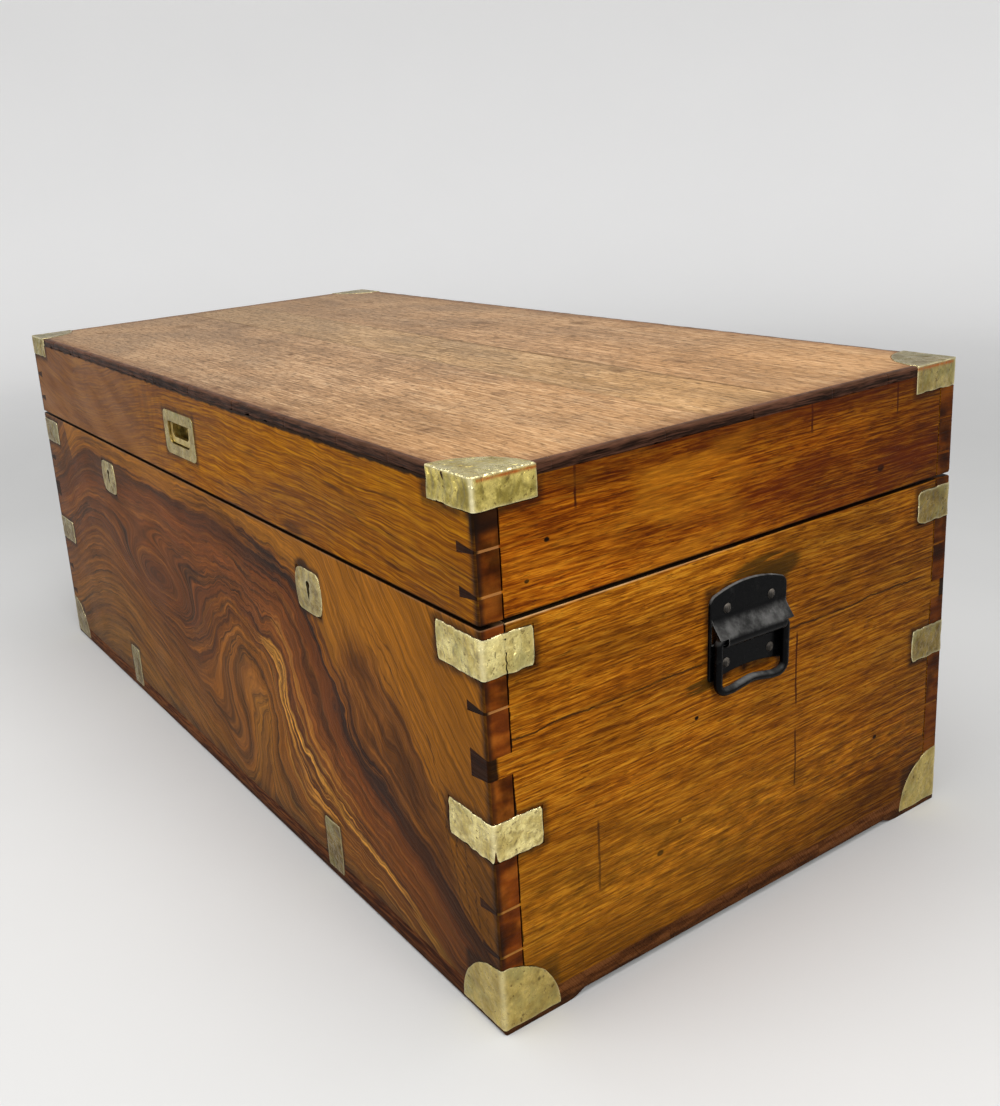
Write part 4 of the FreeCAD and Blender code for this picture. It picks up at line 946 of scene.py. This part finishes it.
def lid_front_wood():
    """Warm wood with a slow bend in its grain at the left, dark sweeps along it, stains, a smoky haze of dust
    with a painted reflection, and a painted shadow under the edging.
    """
    wood = Finish("lid_front_wood")
    x, y, z = wood.axes(wood.place)
    drift = wood.noise(wood.place, 9.0, output="Color")
    bent_x, bent_z = wood.axes(wood.moved(wood.place, drift, 0.016))[::2]
    bend = wood.hill(wood.place, (-0.36, 0, 0.38), (0.22, any_depth, 0.12))
    level = bent_z + bend * 0.06 + x * 0.04
    warm = [(0.04, (106, 54, 4)), (0.28, (138, 78, 6)), (0.52, (161, 97, 9)), (0.76, (182, 117, 14)),
            (0.96, (204, 140, 24))]
    face, height = straight_wood(wood, bent_x * 0.6, level, warm, 71.0, 0.014, contrast=0.75)
    cloud, silk = wood.drawn(x, z, 5.0, 16.0, 2.0, 4.0), wood.drawn(z, x, 9.0, 90.0, 7.0, 3.0)
    face = wood.shade(face, wood.spread(cloud, 0.80, 1.14) * wood.spread(silk, 0.94, 1.06))
    sweep = wood.calc("FRACT", level * 62.0 + cloud * 0.8)
    sweep = wood.rise(abs(sweep - 0.5), 0.14, 0.0) * wood.drawn(x, level, 6.0, 40.0, 5.0, 2.0, 0.45, 0.62)
    face = wood.shade(face, wood.spread(sweep, 1.0, 0.62))
    curled = wood.hill(wood.place, (-0.085, 0, 0.40), (0.045, any_depth, 0.06))
    curls = curled * wood.drawn(z, x, 12.0, 70.0, 6.0)
    face = wood.mix(curls * 0.5, face, (72, 38, 16))
    for stain_x, stain_z, half_long, half_tall in lid_stains:
        spot = wood.hill(wood.place, (stain_x, 0, stain_z), (half_long, any_depth, half_tall), 4)
        face = wood.mix(wood.rise(spot, 0.2, 0.9) * 0.7, face, (56, 24, 8))
    # the haze at the left: a bloom of dust and a painted reflection
    smoke = wood.drawn(x - z * 1.6, z + x * 0.45, 3.0, 26.0, 8.0, 3.0)
    bloom_and_sheen = wood.rise(x, 0.02, -0.20) * wood.spread(cloud, 0.55, 0.80)
    face = wood.mix(bloom_and_sheen, face, wood.mix(smoke, (104, 68, 44), (142, 100, 68)))
    outside = outer_face(wood, y, inside_long_board)
    fittings = [(0.512, 0.428, 0.044, 0.014), (0.0, 0.3835, 0.0405, 0.0235)]
    face = dirt_and_shadow_ring(wood, face, abs(x), z, fittings, outside)
    colour = wood.mix(sawn_end(wood, 0), face, wood.shade(end_grain(wood, 14.0), 0.62))
    colour = corner_wear(wood, colour, 0.4, (36, 23, 15))
    # painted shadow: a near-black band under the edging, wider to the left
    ragged = wood.spread(wood.noise(wood.join(x * 60.0, 0.0, 0.0)), -0.003, 0.003)
    seam = wood.rise(z + ragged - wood.rise(x, 0.30, -0.40) * 0.0022, 0.4268, 0.4294)
    colour = wood.mix(seam * 0.95, colour, (12, 8, 6))
    colour = lid_edge_gap_shade(wood, colour, z, outside)
    # darker under the corner cap
    under_cap = wood.rise(abs(x), 0.522, 0.524) * wood.rise(z, 0.396, 0.404)
    colour = wood.mix(under_cap * 0.9, colour, dark_brown)
    return wood.waxed(colour, wood.spread(cloud, 0.36, 0.52), height)


red_golden = [(0.04, (86, 32, 3)), (0.28, (120, 55, 5)), (0.52, (150, 77, 9)), (0.76, (178, 102, 16)),
              (0.96, (202, 130, 30))]


def lid_end_wood(name, seed, *marks):
    """An end of the lid: golden patches to the front, red ones to the back, dark under the edging."""
    boxes = [(-0.255, 0.428, 0.046, 0.014), (0.255, 0.428, 0.046, 0.014)]
    pins = [(0.355, narrow_pin), (0.388, narrow_pin)]
    wood, colour, gloss, height, outside = end_board(name, seed, red_golden, 0.44, boxes, pins, 0.45, *marks)
    y, z = wood.axes(wood.place)[1:]
    flat = wood.rise(wood.facing(1), 0.9, 0.75)
    lit = wood.drawn(y, z, 8.0, 30.0, seed + 14, 4.0, 0.46, 0.66) * wood.rise(y, 0.22, -0.10) * flat
    colour = wood.mix(lit * 0.40, colour, (206, 134, 32))
    redder = wood.drawn(y, z, 9.0, 26.0, seed + 13, 4.0, 0.44, 0.66) * wood.rise(y, -0.24, 0.12) * flat
    colour = wood.mix(redder * 0.55, colour, (88, 30, 6))
    colour = wood.mix(wood.rise(z, 0.400, 0.431) * wood.patchy(45.0, 0.1, 0.9), colour, (60, 19, 6))
    return wood.waxed(lid_edge_gap_shade(wood, colour, z, outside), gloss, height, 0.0003)


dress("lid_front", lid_front_wood())
dress("lid_back", back_board("lid_back_wood", 67.0))
lid_cracks = [(-0.176, 0.400, 0.432), (0.073, 0.408, 0.432), (0.183, 0.404, 0.432)]
lid_holes = [(-0.203, 0.383, 0.0018), (-0.222, 0.357, 0.0016), (0.163, 0.359, 0.0032)]
dress("lid_end_right", lid_end_wood("lid_end_right_wood", 81.0, lid_cracks, lid_holes))
dress("lid_end_left", lid_end_wood("lid_end_left_wood", 89.0))


# Lid top. Three planks laid lengthwise, sun-faded to a matt pinkish tan, covered with short pore flecks,
# stains and rubbed scratches; the narrow middle plank is a little greener.

top_stains = [(0.070, 0.215, 0.013, 0.007, 0.7), (0.344, 0.110, 0.013, 0.008, 0.6),
              (0.072, 0.092, 0.008, 0.004, 0.8), (-0.043, -0.107, 0.008, 0.005, 0.8),
              (0.217, -0.249, 0.014, 0.005, 0.7), (0.387, -0.209, 0.006, 0.009, 0.6),
              (-0.392, -0.095, 0.013, 0.014, 0.45), (-0.310, -0.038, 0.011, 0.011, 0.45),
              (0.330, 0.044, 0.013, 0.006, 0.6), (-0.010, 0.135, 0.004, 0.018, 0.5),
              (0.285, 0.130, 0.003, 0.022, 0.4), (0.148, 0.225, 0.003, 0.020, 0.35)]
front_joint_y, rear_joint_y, top_z = -0.035, 0.056, 0.44


def top_plank(name, seed, tint):
    """Faded wood, greyer at the left and warmer at the right, with marks along and across the grain."""
    wood = Finish(name)
    x, y = wood.axes(wood.place)[:2]
    pale = [(0.04, (98, 72, 48)), (0.28, (130, 99, 70)), (0.52, (154, 121, 88)), (0.76, (174, 142, 107)),
            (0.96, (196, 166, 130))]
    face, height = straight_wood(wood, x, y, pale, seed)
    face = wood.mix(0.35, face, tint)
    face = wood.mix(wood.rise(x, 0.40, -0.45) * 0.55, face, (136, 114, 92))
    face = wood.mix(wood.rise(x, 0.10, 0.50) * 0.25, face, (186, 138, 84))
    flecks = wood.drawn(x, y, 90.0, 260.0, seed + 6, 2.0, 0.50, 0.66)
    face = wood.shade(face, wood.spread(flecks, 1.08, 0.66))
    cloud = wood.drawn(x, y, 8.0, 14.0, seed + 7, 5.0)
    face = wood.shade(face, wood.spread(cloud, 0.80, 1.12))
    cross = wood.drawn(y, x, 13.0, 62.0, seed + 8, 3.0, 0.60, 0.70)
    face = wood.mix(cross * 0.30, face, (96, 68, 44))
    smudges = wood.drawn(x, y, 17.0, 30.0, seed + 3, 2.0, 0.64, 0.74)
    face = wood.mix(smudges * 0.5, face, (96, 70, 50))
    blurred = wood.moved(wood.place, wood.noise(wood.place, 60.0, 2.0, output="Color"), 0.012)
    for stain_x, stain_y, half_long, half_wide, strength in top_stains:
        spot = wood.hill(blurred, (stain_x, stain_y, top_z), (half_long, half_wide, any_depth))
        face = wood.mix(spot * strength, face, (82, 56, 38))
    rear_joint = wood.rise(abs(y - rear_joint_y), 0.004, 0.0005) * wood.rise(x, -0.25, 0.20)
    front_joint = wood.rise(abs(y - front_joint_y), 0.006, 0.0005) * 0.35
    joints = wood.larger(rear_joint, front_joint) * wood.patchy(25.0, 0.1, 1.3)
    face = wood.mix(joints * 0.75, face, (84, 58, 34))
    rim = wood.larger(wood.rise(abs(y), 0.238, 0.259), wood.rise(abs(x), 0.500, 0.522))
    face = wood.mix(rim * wood.patchy(60.0, 0.0, 0.8), face, (98, 60, 40))
    return wood.waxed(face, wood.spread(cloud, 0.5, 0.64), height, 0.0003)


dress("lid_plank_front", top_plank("lid_top_front", 101.0, (166, 131, 98)))
dress("lid_plank_middle", top_plank("lid_top_middle", 113.0, (166, 138, 98)))
dress("lid_plank_rear", top_plank("lid_top_rear", 127.0, (172, 135, 100)))


# Lid edging. Dark hardwood strips glued and pinned round the top in short lengths, their upper edge
# rounded by wear and their lower edge chipped; the joints between lengths show as fine lines.

def edging_wood():
    """Dark wood, some lengths darker than others, paler along its upper edge, rubbed by wear and with a
    painted highlight.
    """
    wood = Finish("edging_wood")
    x, y, z = wood.axes(wood.place)
    dark = [(0.1, (28, 16, 11)), (0.5, (54, 34, 25)), (0.9, (86, 56, 42))]
    face, height = straight_wood(wood, x + y, z, dark, 131.0)
    lengths = wood.noise(wood.join(x * 9.0, y * 9.0, 0.0), detail=0.0)
    face = wood.shade(face, wood.spread(lengths, 0.6, 1.4))
    # paler upper edge: wear and a painted highlight
    wear_and_highlight = wood.rise(z, 0.4366, 0.4396) * wood.patchy(90.0, 0.0, 0.8)
    return wood.waxed(wood.mix(wear_and_highlight, face, (98, 68, 50)), 0.45, height, 0.0004)


edging = edging_wood()


def edging_strip(node, along, outward, seed):
    """Lengths of one rounded section, end to end. The section goes up the outer side, round a quarter circle
    and back over the top; along a length the chips, the rounding and the ends change. along is the axis,
    0 or 1, outward the side that shows, -1 or 1."""
    low, high = np.array(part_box(node))
    rng = np.random.default_rng(seed)
    total = high[along] - low[along]
    joints = np.cumsum(rng.uniform(0.065, 0.115, 40))
    joints = np.concatenate([[0.0], joints[joints < total - 0.04], [total]])
    share = np.concatenate([[0, 0.004, 0.012], np.linspace(0.03, 0.97, 30), [0.988, 0.996, 1]])
    start, length, slit = joints[:-1, None], np.diff(joints)[:, None], 0.0001
    run = start + slit + (length - 2 * slit) * share
    blunt = 0.0002 * np.clip(1 - np.minimum(share, 1 - share) * 60, 0, 1) ** 2 + np.zeros_like(run)
    back = rng.uniform(0.0, 0.0003, len(length))[:, None] + blunt + 0.0002 * (1 + np.sin(run * 160 + seed))
    chips = 0.0016 * np.clip(waves(run, seed + 1, 1.0, 0.006, 0.05) - 0.35, 0, 1)
    round_by = (0.0032 + waves(run, seed + 2, 0.0009, 0.02, 0.09))[..., None]
    width, tall = high[1 - along] - low[1 - along], high[2] - low[2]
    turn = np.linspace(0, np.pi / 2, 8)
    deep = np.concatenate([np.stack([back + chips, back], -1),
                           back[..., None] + round_by * (1 - np.cos(turn)),
                           np.full((*run.shape, 2), width)], -1)
    up = np.concatenate([np.stack([chips, chips + 0.0012], -1),
                         tall - blunt[..., None] - round_by * (1 - np.sin(turn)),
                         np.stack([tall - blunt, np.zeros_like(run)], -1)], -1)
    side = low[1 - along] + deep if outward < 0 else high[1 - along] - deep
    path = np.broadcast_to((low[along] + run)[..., None], side.shape)
    plan = (path, side) if along == 0 else (side, path)
    points = np.stack([*plan, low[2] + up], -1).reshape(-1, 3)
    ring = side.shape[2]
    index = np.arange(side.size).reshape(side.shape)
    after = np.roll(index, -1, 2)
    skin = np.stack([index[:, :-1], index[:, 1:], after[:, 1:], after[:, :-1]], -1).reshape(-1, 4)
    k = np.arange(ring // 2 - 1)
    cap = np.stack([k, k + 1, ring - 2 - k, ring - 1 - k], -1)
    near, far = index[:, 0][:, cap].reshape(-1, 4), index[:, -1][:, cap[:, ::-1]].reshape(-1, 4)
    add_piece(node + "_lengths", "lid", [node], edging,
              (points, np.concatenate([skin, near, far])))


edging_strip("lid_moulding_front", 0, -1, 401)
edging_strip("lid_moulding_back", 0, 1, 411)
edging_strip("lid_moulding_left", 1, -1, 421)
edging_strip("lid_moulding_right", 1, 1, 431)


# Lid corner caps. Each is a quarter-round plate let into the top, with a band soldered under its straight
# edges and bent round the corner; crumpled by knocks, polished at the bends, with painted highlights on the
# bends and edges.

old_cap_brass = brass_finish("old_cap_brass", (186, 166, 104), (140, 122, 66), (80, 60, 30), 0.8)
cap_brass = brass_finish("cap_brass", (222, 202, 116), (146, 130, 62), (84, 62, 28), 0.8)


def lid_cap(node, corner, seed, radius=0.055):
    """The band is a strap of one height. The plate is a square grid turned into a quarter disc: a times the
    root of (1 - b squared over 2) by b times the root of (1 - a squared over 2), with its corner rounded."""
    low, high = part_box(node)
    near = corner == "front_right"
    band_brass, plate_brass = (cap_brass, brass) if near else (old_cap_brass, old_cap_brass)
    reach, top = radius - bend_inset + half_bend, high.z - 0.0012
    run, z = np.meshgrid(bend_runs(-reach, reach), steps(low.z, top, 0.0008))
    share = (z - low.z) / (top - low.z)
    height = z + (1 - share) * (0.0005 + waves(run, seed, hand_cut))
    edge = np.minimum.reduce([z - low.z, run + reach, reach - run])
    fold = 0.5 + 0.5 * np.sin(2 * np.pi * run / 0.0078 + 1.6 * np.sin(260 * z) + seed)
    folded = np.clip((-run - 0.004) / 0.004, 0, 1) * (0.45 + 0.55 * share)
    sink = rim_drop(edge) + dents(run * 1.6, z * 0.5, seed + 1, 0.0003) + 0.0007 * fold * folded
    # edges, bend and top edge painted bright: wear and a painted highlight
    wear_and_glint = 0.8 * np.exp(-edge / bright_rim) + bell(run, 0.0022) + 0.5 * np.exp((z - top) / 0.001)
    solder = 1.4 * bell(top - z - 0.0020, 0.0014) * (run > 0.004)
    add_piece(node + "_band", "lid", [node], band_brass,
              bent_sheet(run, sink, height, corner), [("wear_and_glint", wear_and_glint), ("seam", solder)])

    grid = steps(0.0, radius) / radius
    a, b = np.meshgrid(grid, grid)
    in_x, in_y = radius * a * np.sqrt(1 - b ** 2 / 2), radius * b * np.sqrt(1 - a ** 2 / 2)
    rim = radius - np.hypot(in_x, in_y)
    u, v = np.clip(1 - in_x / bend_radius, 0, 1), np.clip(1 - in_y / bend_radius, 0, 1)
    at_corner = (u > 0) & (v > 0)
    in_x = np.where(at_corner, bend_radius * (1 - u * np.sqrt(1 - v ** 2 / 2)), in_x)
    in_y = np.where(at_corner, bend_radius * (1 - v * np.sqrt(1 - u ** 2 / 2)), in_y)
    straight = np.minimum(radius * a, radius * b)
    wobble = waves(np.arctan2(in_y, in_x + 1e-6) * radius, seed + 2, 0.0006) * np.clip(1 - rim / 0.01, 0, 1)
    far = 1 + (wobble - 0.0004) / radius
    sink = np.maximum(rim_drop(rim), rim_drop(straight, 0.0010)) + dents(in_x, in_y, seed + 3, 0.0002)
    x, y = bend_x + bend_radius - in_x * far, bend_y - bend_radius + in_y * far
    turn = np.array([*corners[corner], 1.0])
    outer = np.stack([x, y, high.z - sink], -1)
    inner = np.stack([x, y, np.full_like(x, high.z - sheet_depth)], -1)
    # edges painted bright: wear and a painted highlight
    wear_and_glint = np.exp(-straight / 0.0012) + 0.6 * np.exp(-rim / bright_rim)
    add_piece(node + "_plate", "lid", [node], plate_brass,
              closed_sheet(outer * turn, inner * turn), [("wear_and_glint", wear_and_glint)])


for number, corner in enumerate(corners):
    lid_cap("lid_cap_" + corner, corner, 500 + 20 * number)


# Lifting handle in the lid's front. A cast brass pan with a D-shaped mouth, let in flush, and a drop
# bail on two trunnions in it; the bail is polished by use.

dress("lift_pan", brass_finish("pan_brass", (190, 170, 108), (150, 130, 76), (78, 60, 34), 0.5))
dress("lift_bail", brass_finish("bail_brass", (222, 200, 124), (178, 154, 88), (88, 64, 34), 0.3))


# Studio. A sheet of pale paper makes the floor and curves up into a round backdrop; a wide soft lamp hangs
# overhead, two soft fills light the end and the front, and the camera looks from the front right.

def backdrop():
    """A bowl of revolution: the profile runs out along the floor and turns up through a quarter circle."""
    flat, bend, wall = 2.6, 1.2, 2.4
    quarter = np.linspace(0, np.pi / 2, 16)
    out = np.concatenate([[0.001, 0.8, 1.7], flat + bend * np.sin(quarter), [flat + bend]])
    up = np.concatenate([[0, 0, 0], bend * (1 - np.cos(quarter)), [wall]])
    turn = np.linspace(0, 2 * np.pi, 96, endpoint=False)
    points = np.stack([np.outer(out, np.cos(turn)), np.outer(out, np.sin(turn)),
                       np.repeat(up[:, None], len(turn), 1)], -1).reshape(-1, 3)
    ring, step = np.meshgrid(np.arange(len(out) - 1), np.arange(len(turn)), indexing="ij")
    after = (step + 1) % len(turn)
    a, b = ring * len(turn), (ring + 1) * len(turn)
    faces = np.stack([a + step, b + step, b + after, a + after], -1).reshape(-1, 4)
    mesh = bpy.data.meshes.new("backdrop")
    mesh.from_pydata(points.tolist(), [], faces.tolist())
    mesh.shade_smooth()
    made = bpy.data.objects.new("backdrop", mesh)
    bpy.context.scene.collection.objects.link(made)
    paper = Finish("backdrop_paper")
    level = paper.vector("MULTIPLY", {0: paper.place, 1: (1, 1, 0)})
    high = paper.rise(paper.vector("LENGTH", {0: level}, "Value"), 1.0, 3.6)
    path = paper.node("ShaderNodeLightPath")
    seen = Field(paper, path.outputs["Is Camera Ray"])
    for kind in ("Is Glossy Ray", "Is Transmission Ray"):
        seen = paper.larger(seen, Field(paper, path.outputs[kind]))
    pale = paper.mix(high, (204, 204, 203), (226, 226, 226))
    grain = paper.spread(paper.noise(paper.place, 3.0, 4.0), 0.97, 1.03)
    mesh.materials.append(paper.paint(
        paper.shade(paper.mix(seen, (132, 130, 128), pale), grain), 0.9,
        Emission_Color=tone(232, 232, 232), Emission_Strength=seen * high * 0.42))
    return made


backdrop()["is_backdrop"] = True


def lamp(name, place, aim, size, watts):
    """A soft rectangular lamp at a place, turned towards aim."""
    light = bpy.data.lights.new(name, "AREA")
    light.shape, light.size, light.size_y, light.energy = "RECTANGLE", size[0], size[1], watts
    made = bpy.data.objects.new(name, light)
    made.location = place
    made.rotation_mode = "QUATERNION"
    made.rotation_quaternion = (Vector(aim) - Vector(place)).to_track_quat("-Z", "Y")
    bpy.context.scene.collection.objects.link(made)


lamp("ceiling_lamp", (0.3, -0.2, 2.5), (0, 0, 0.2), (2.6, 2.0), 56)
lamp("end_fill", (2.4, -0.4, 1.6), (0.5, 0, 0.25), (1.5, 1.3), 36)
lamp("front_fill", (-0.6, -2.4, 1.6), (0, -0.2, 0.25), (1.8, 1.3), 26)

world = bpy.data.worlds.new("studio")
bpy.context.scene.world = world
world.use_nodes = True
sky = world.node_tree.nodes["Background"]
sky.inputs["Color"].default_value = (1, 1, 1, 1)
sky.inputs["Strength"].default_value = 0.3

camera_data = bpy.data.cameras.new("camera")
camera_data.lens, camera_data.sensor_width = 38.246, 36.0
camera_data.shift_x, camera_data.shift_y = 0.05371, -0.05955
camera = bpy.data.objects.new("camera", camera_data)
camera.location = (1.14047, -0.67887, 0.64764)
turn, tip, roll = (math.radians(angle) for angle in (-57.41589, -15.99101, -4.08378))
ahead = Vector((math.sin(turn) * math.cos(tip), math.cos(turn) * math.cos(tip), math.sin(tip)))
camera.rotation_mode = "QUATERNION"
camera.rotation_quaternion = ahead.to_track_quat("-Z", "Y") @ Quaternion((0, 0, 1), roll)
bpy.context.scene.collection.objects.link(camera)
bpy.context.scene.camera = camera
bpy.context.scene.view_settings.view_transform = "Standard"

low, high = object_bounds()
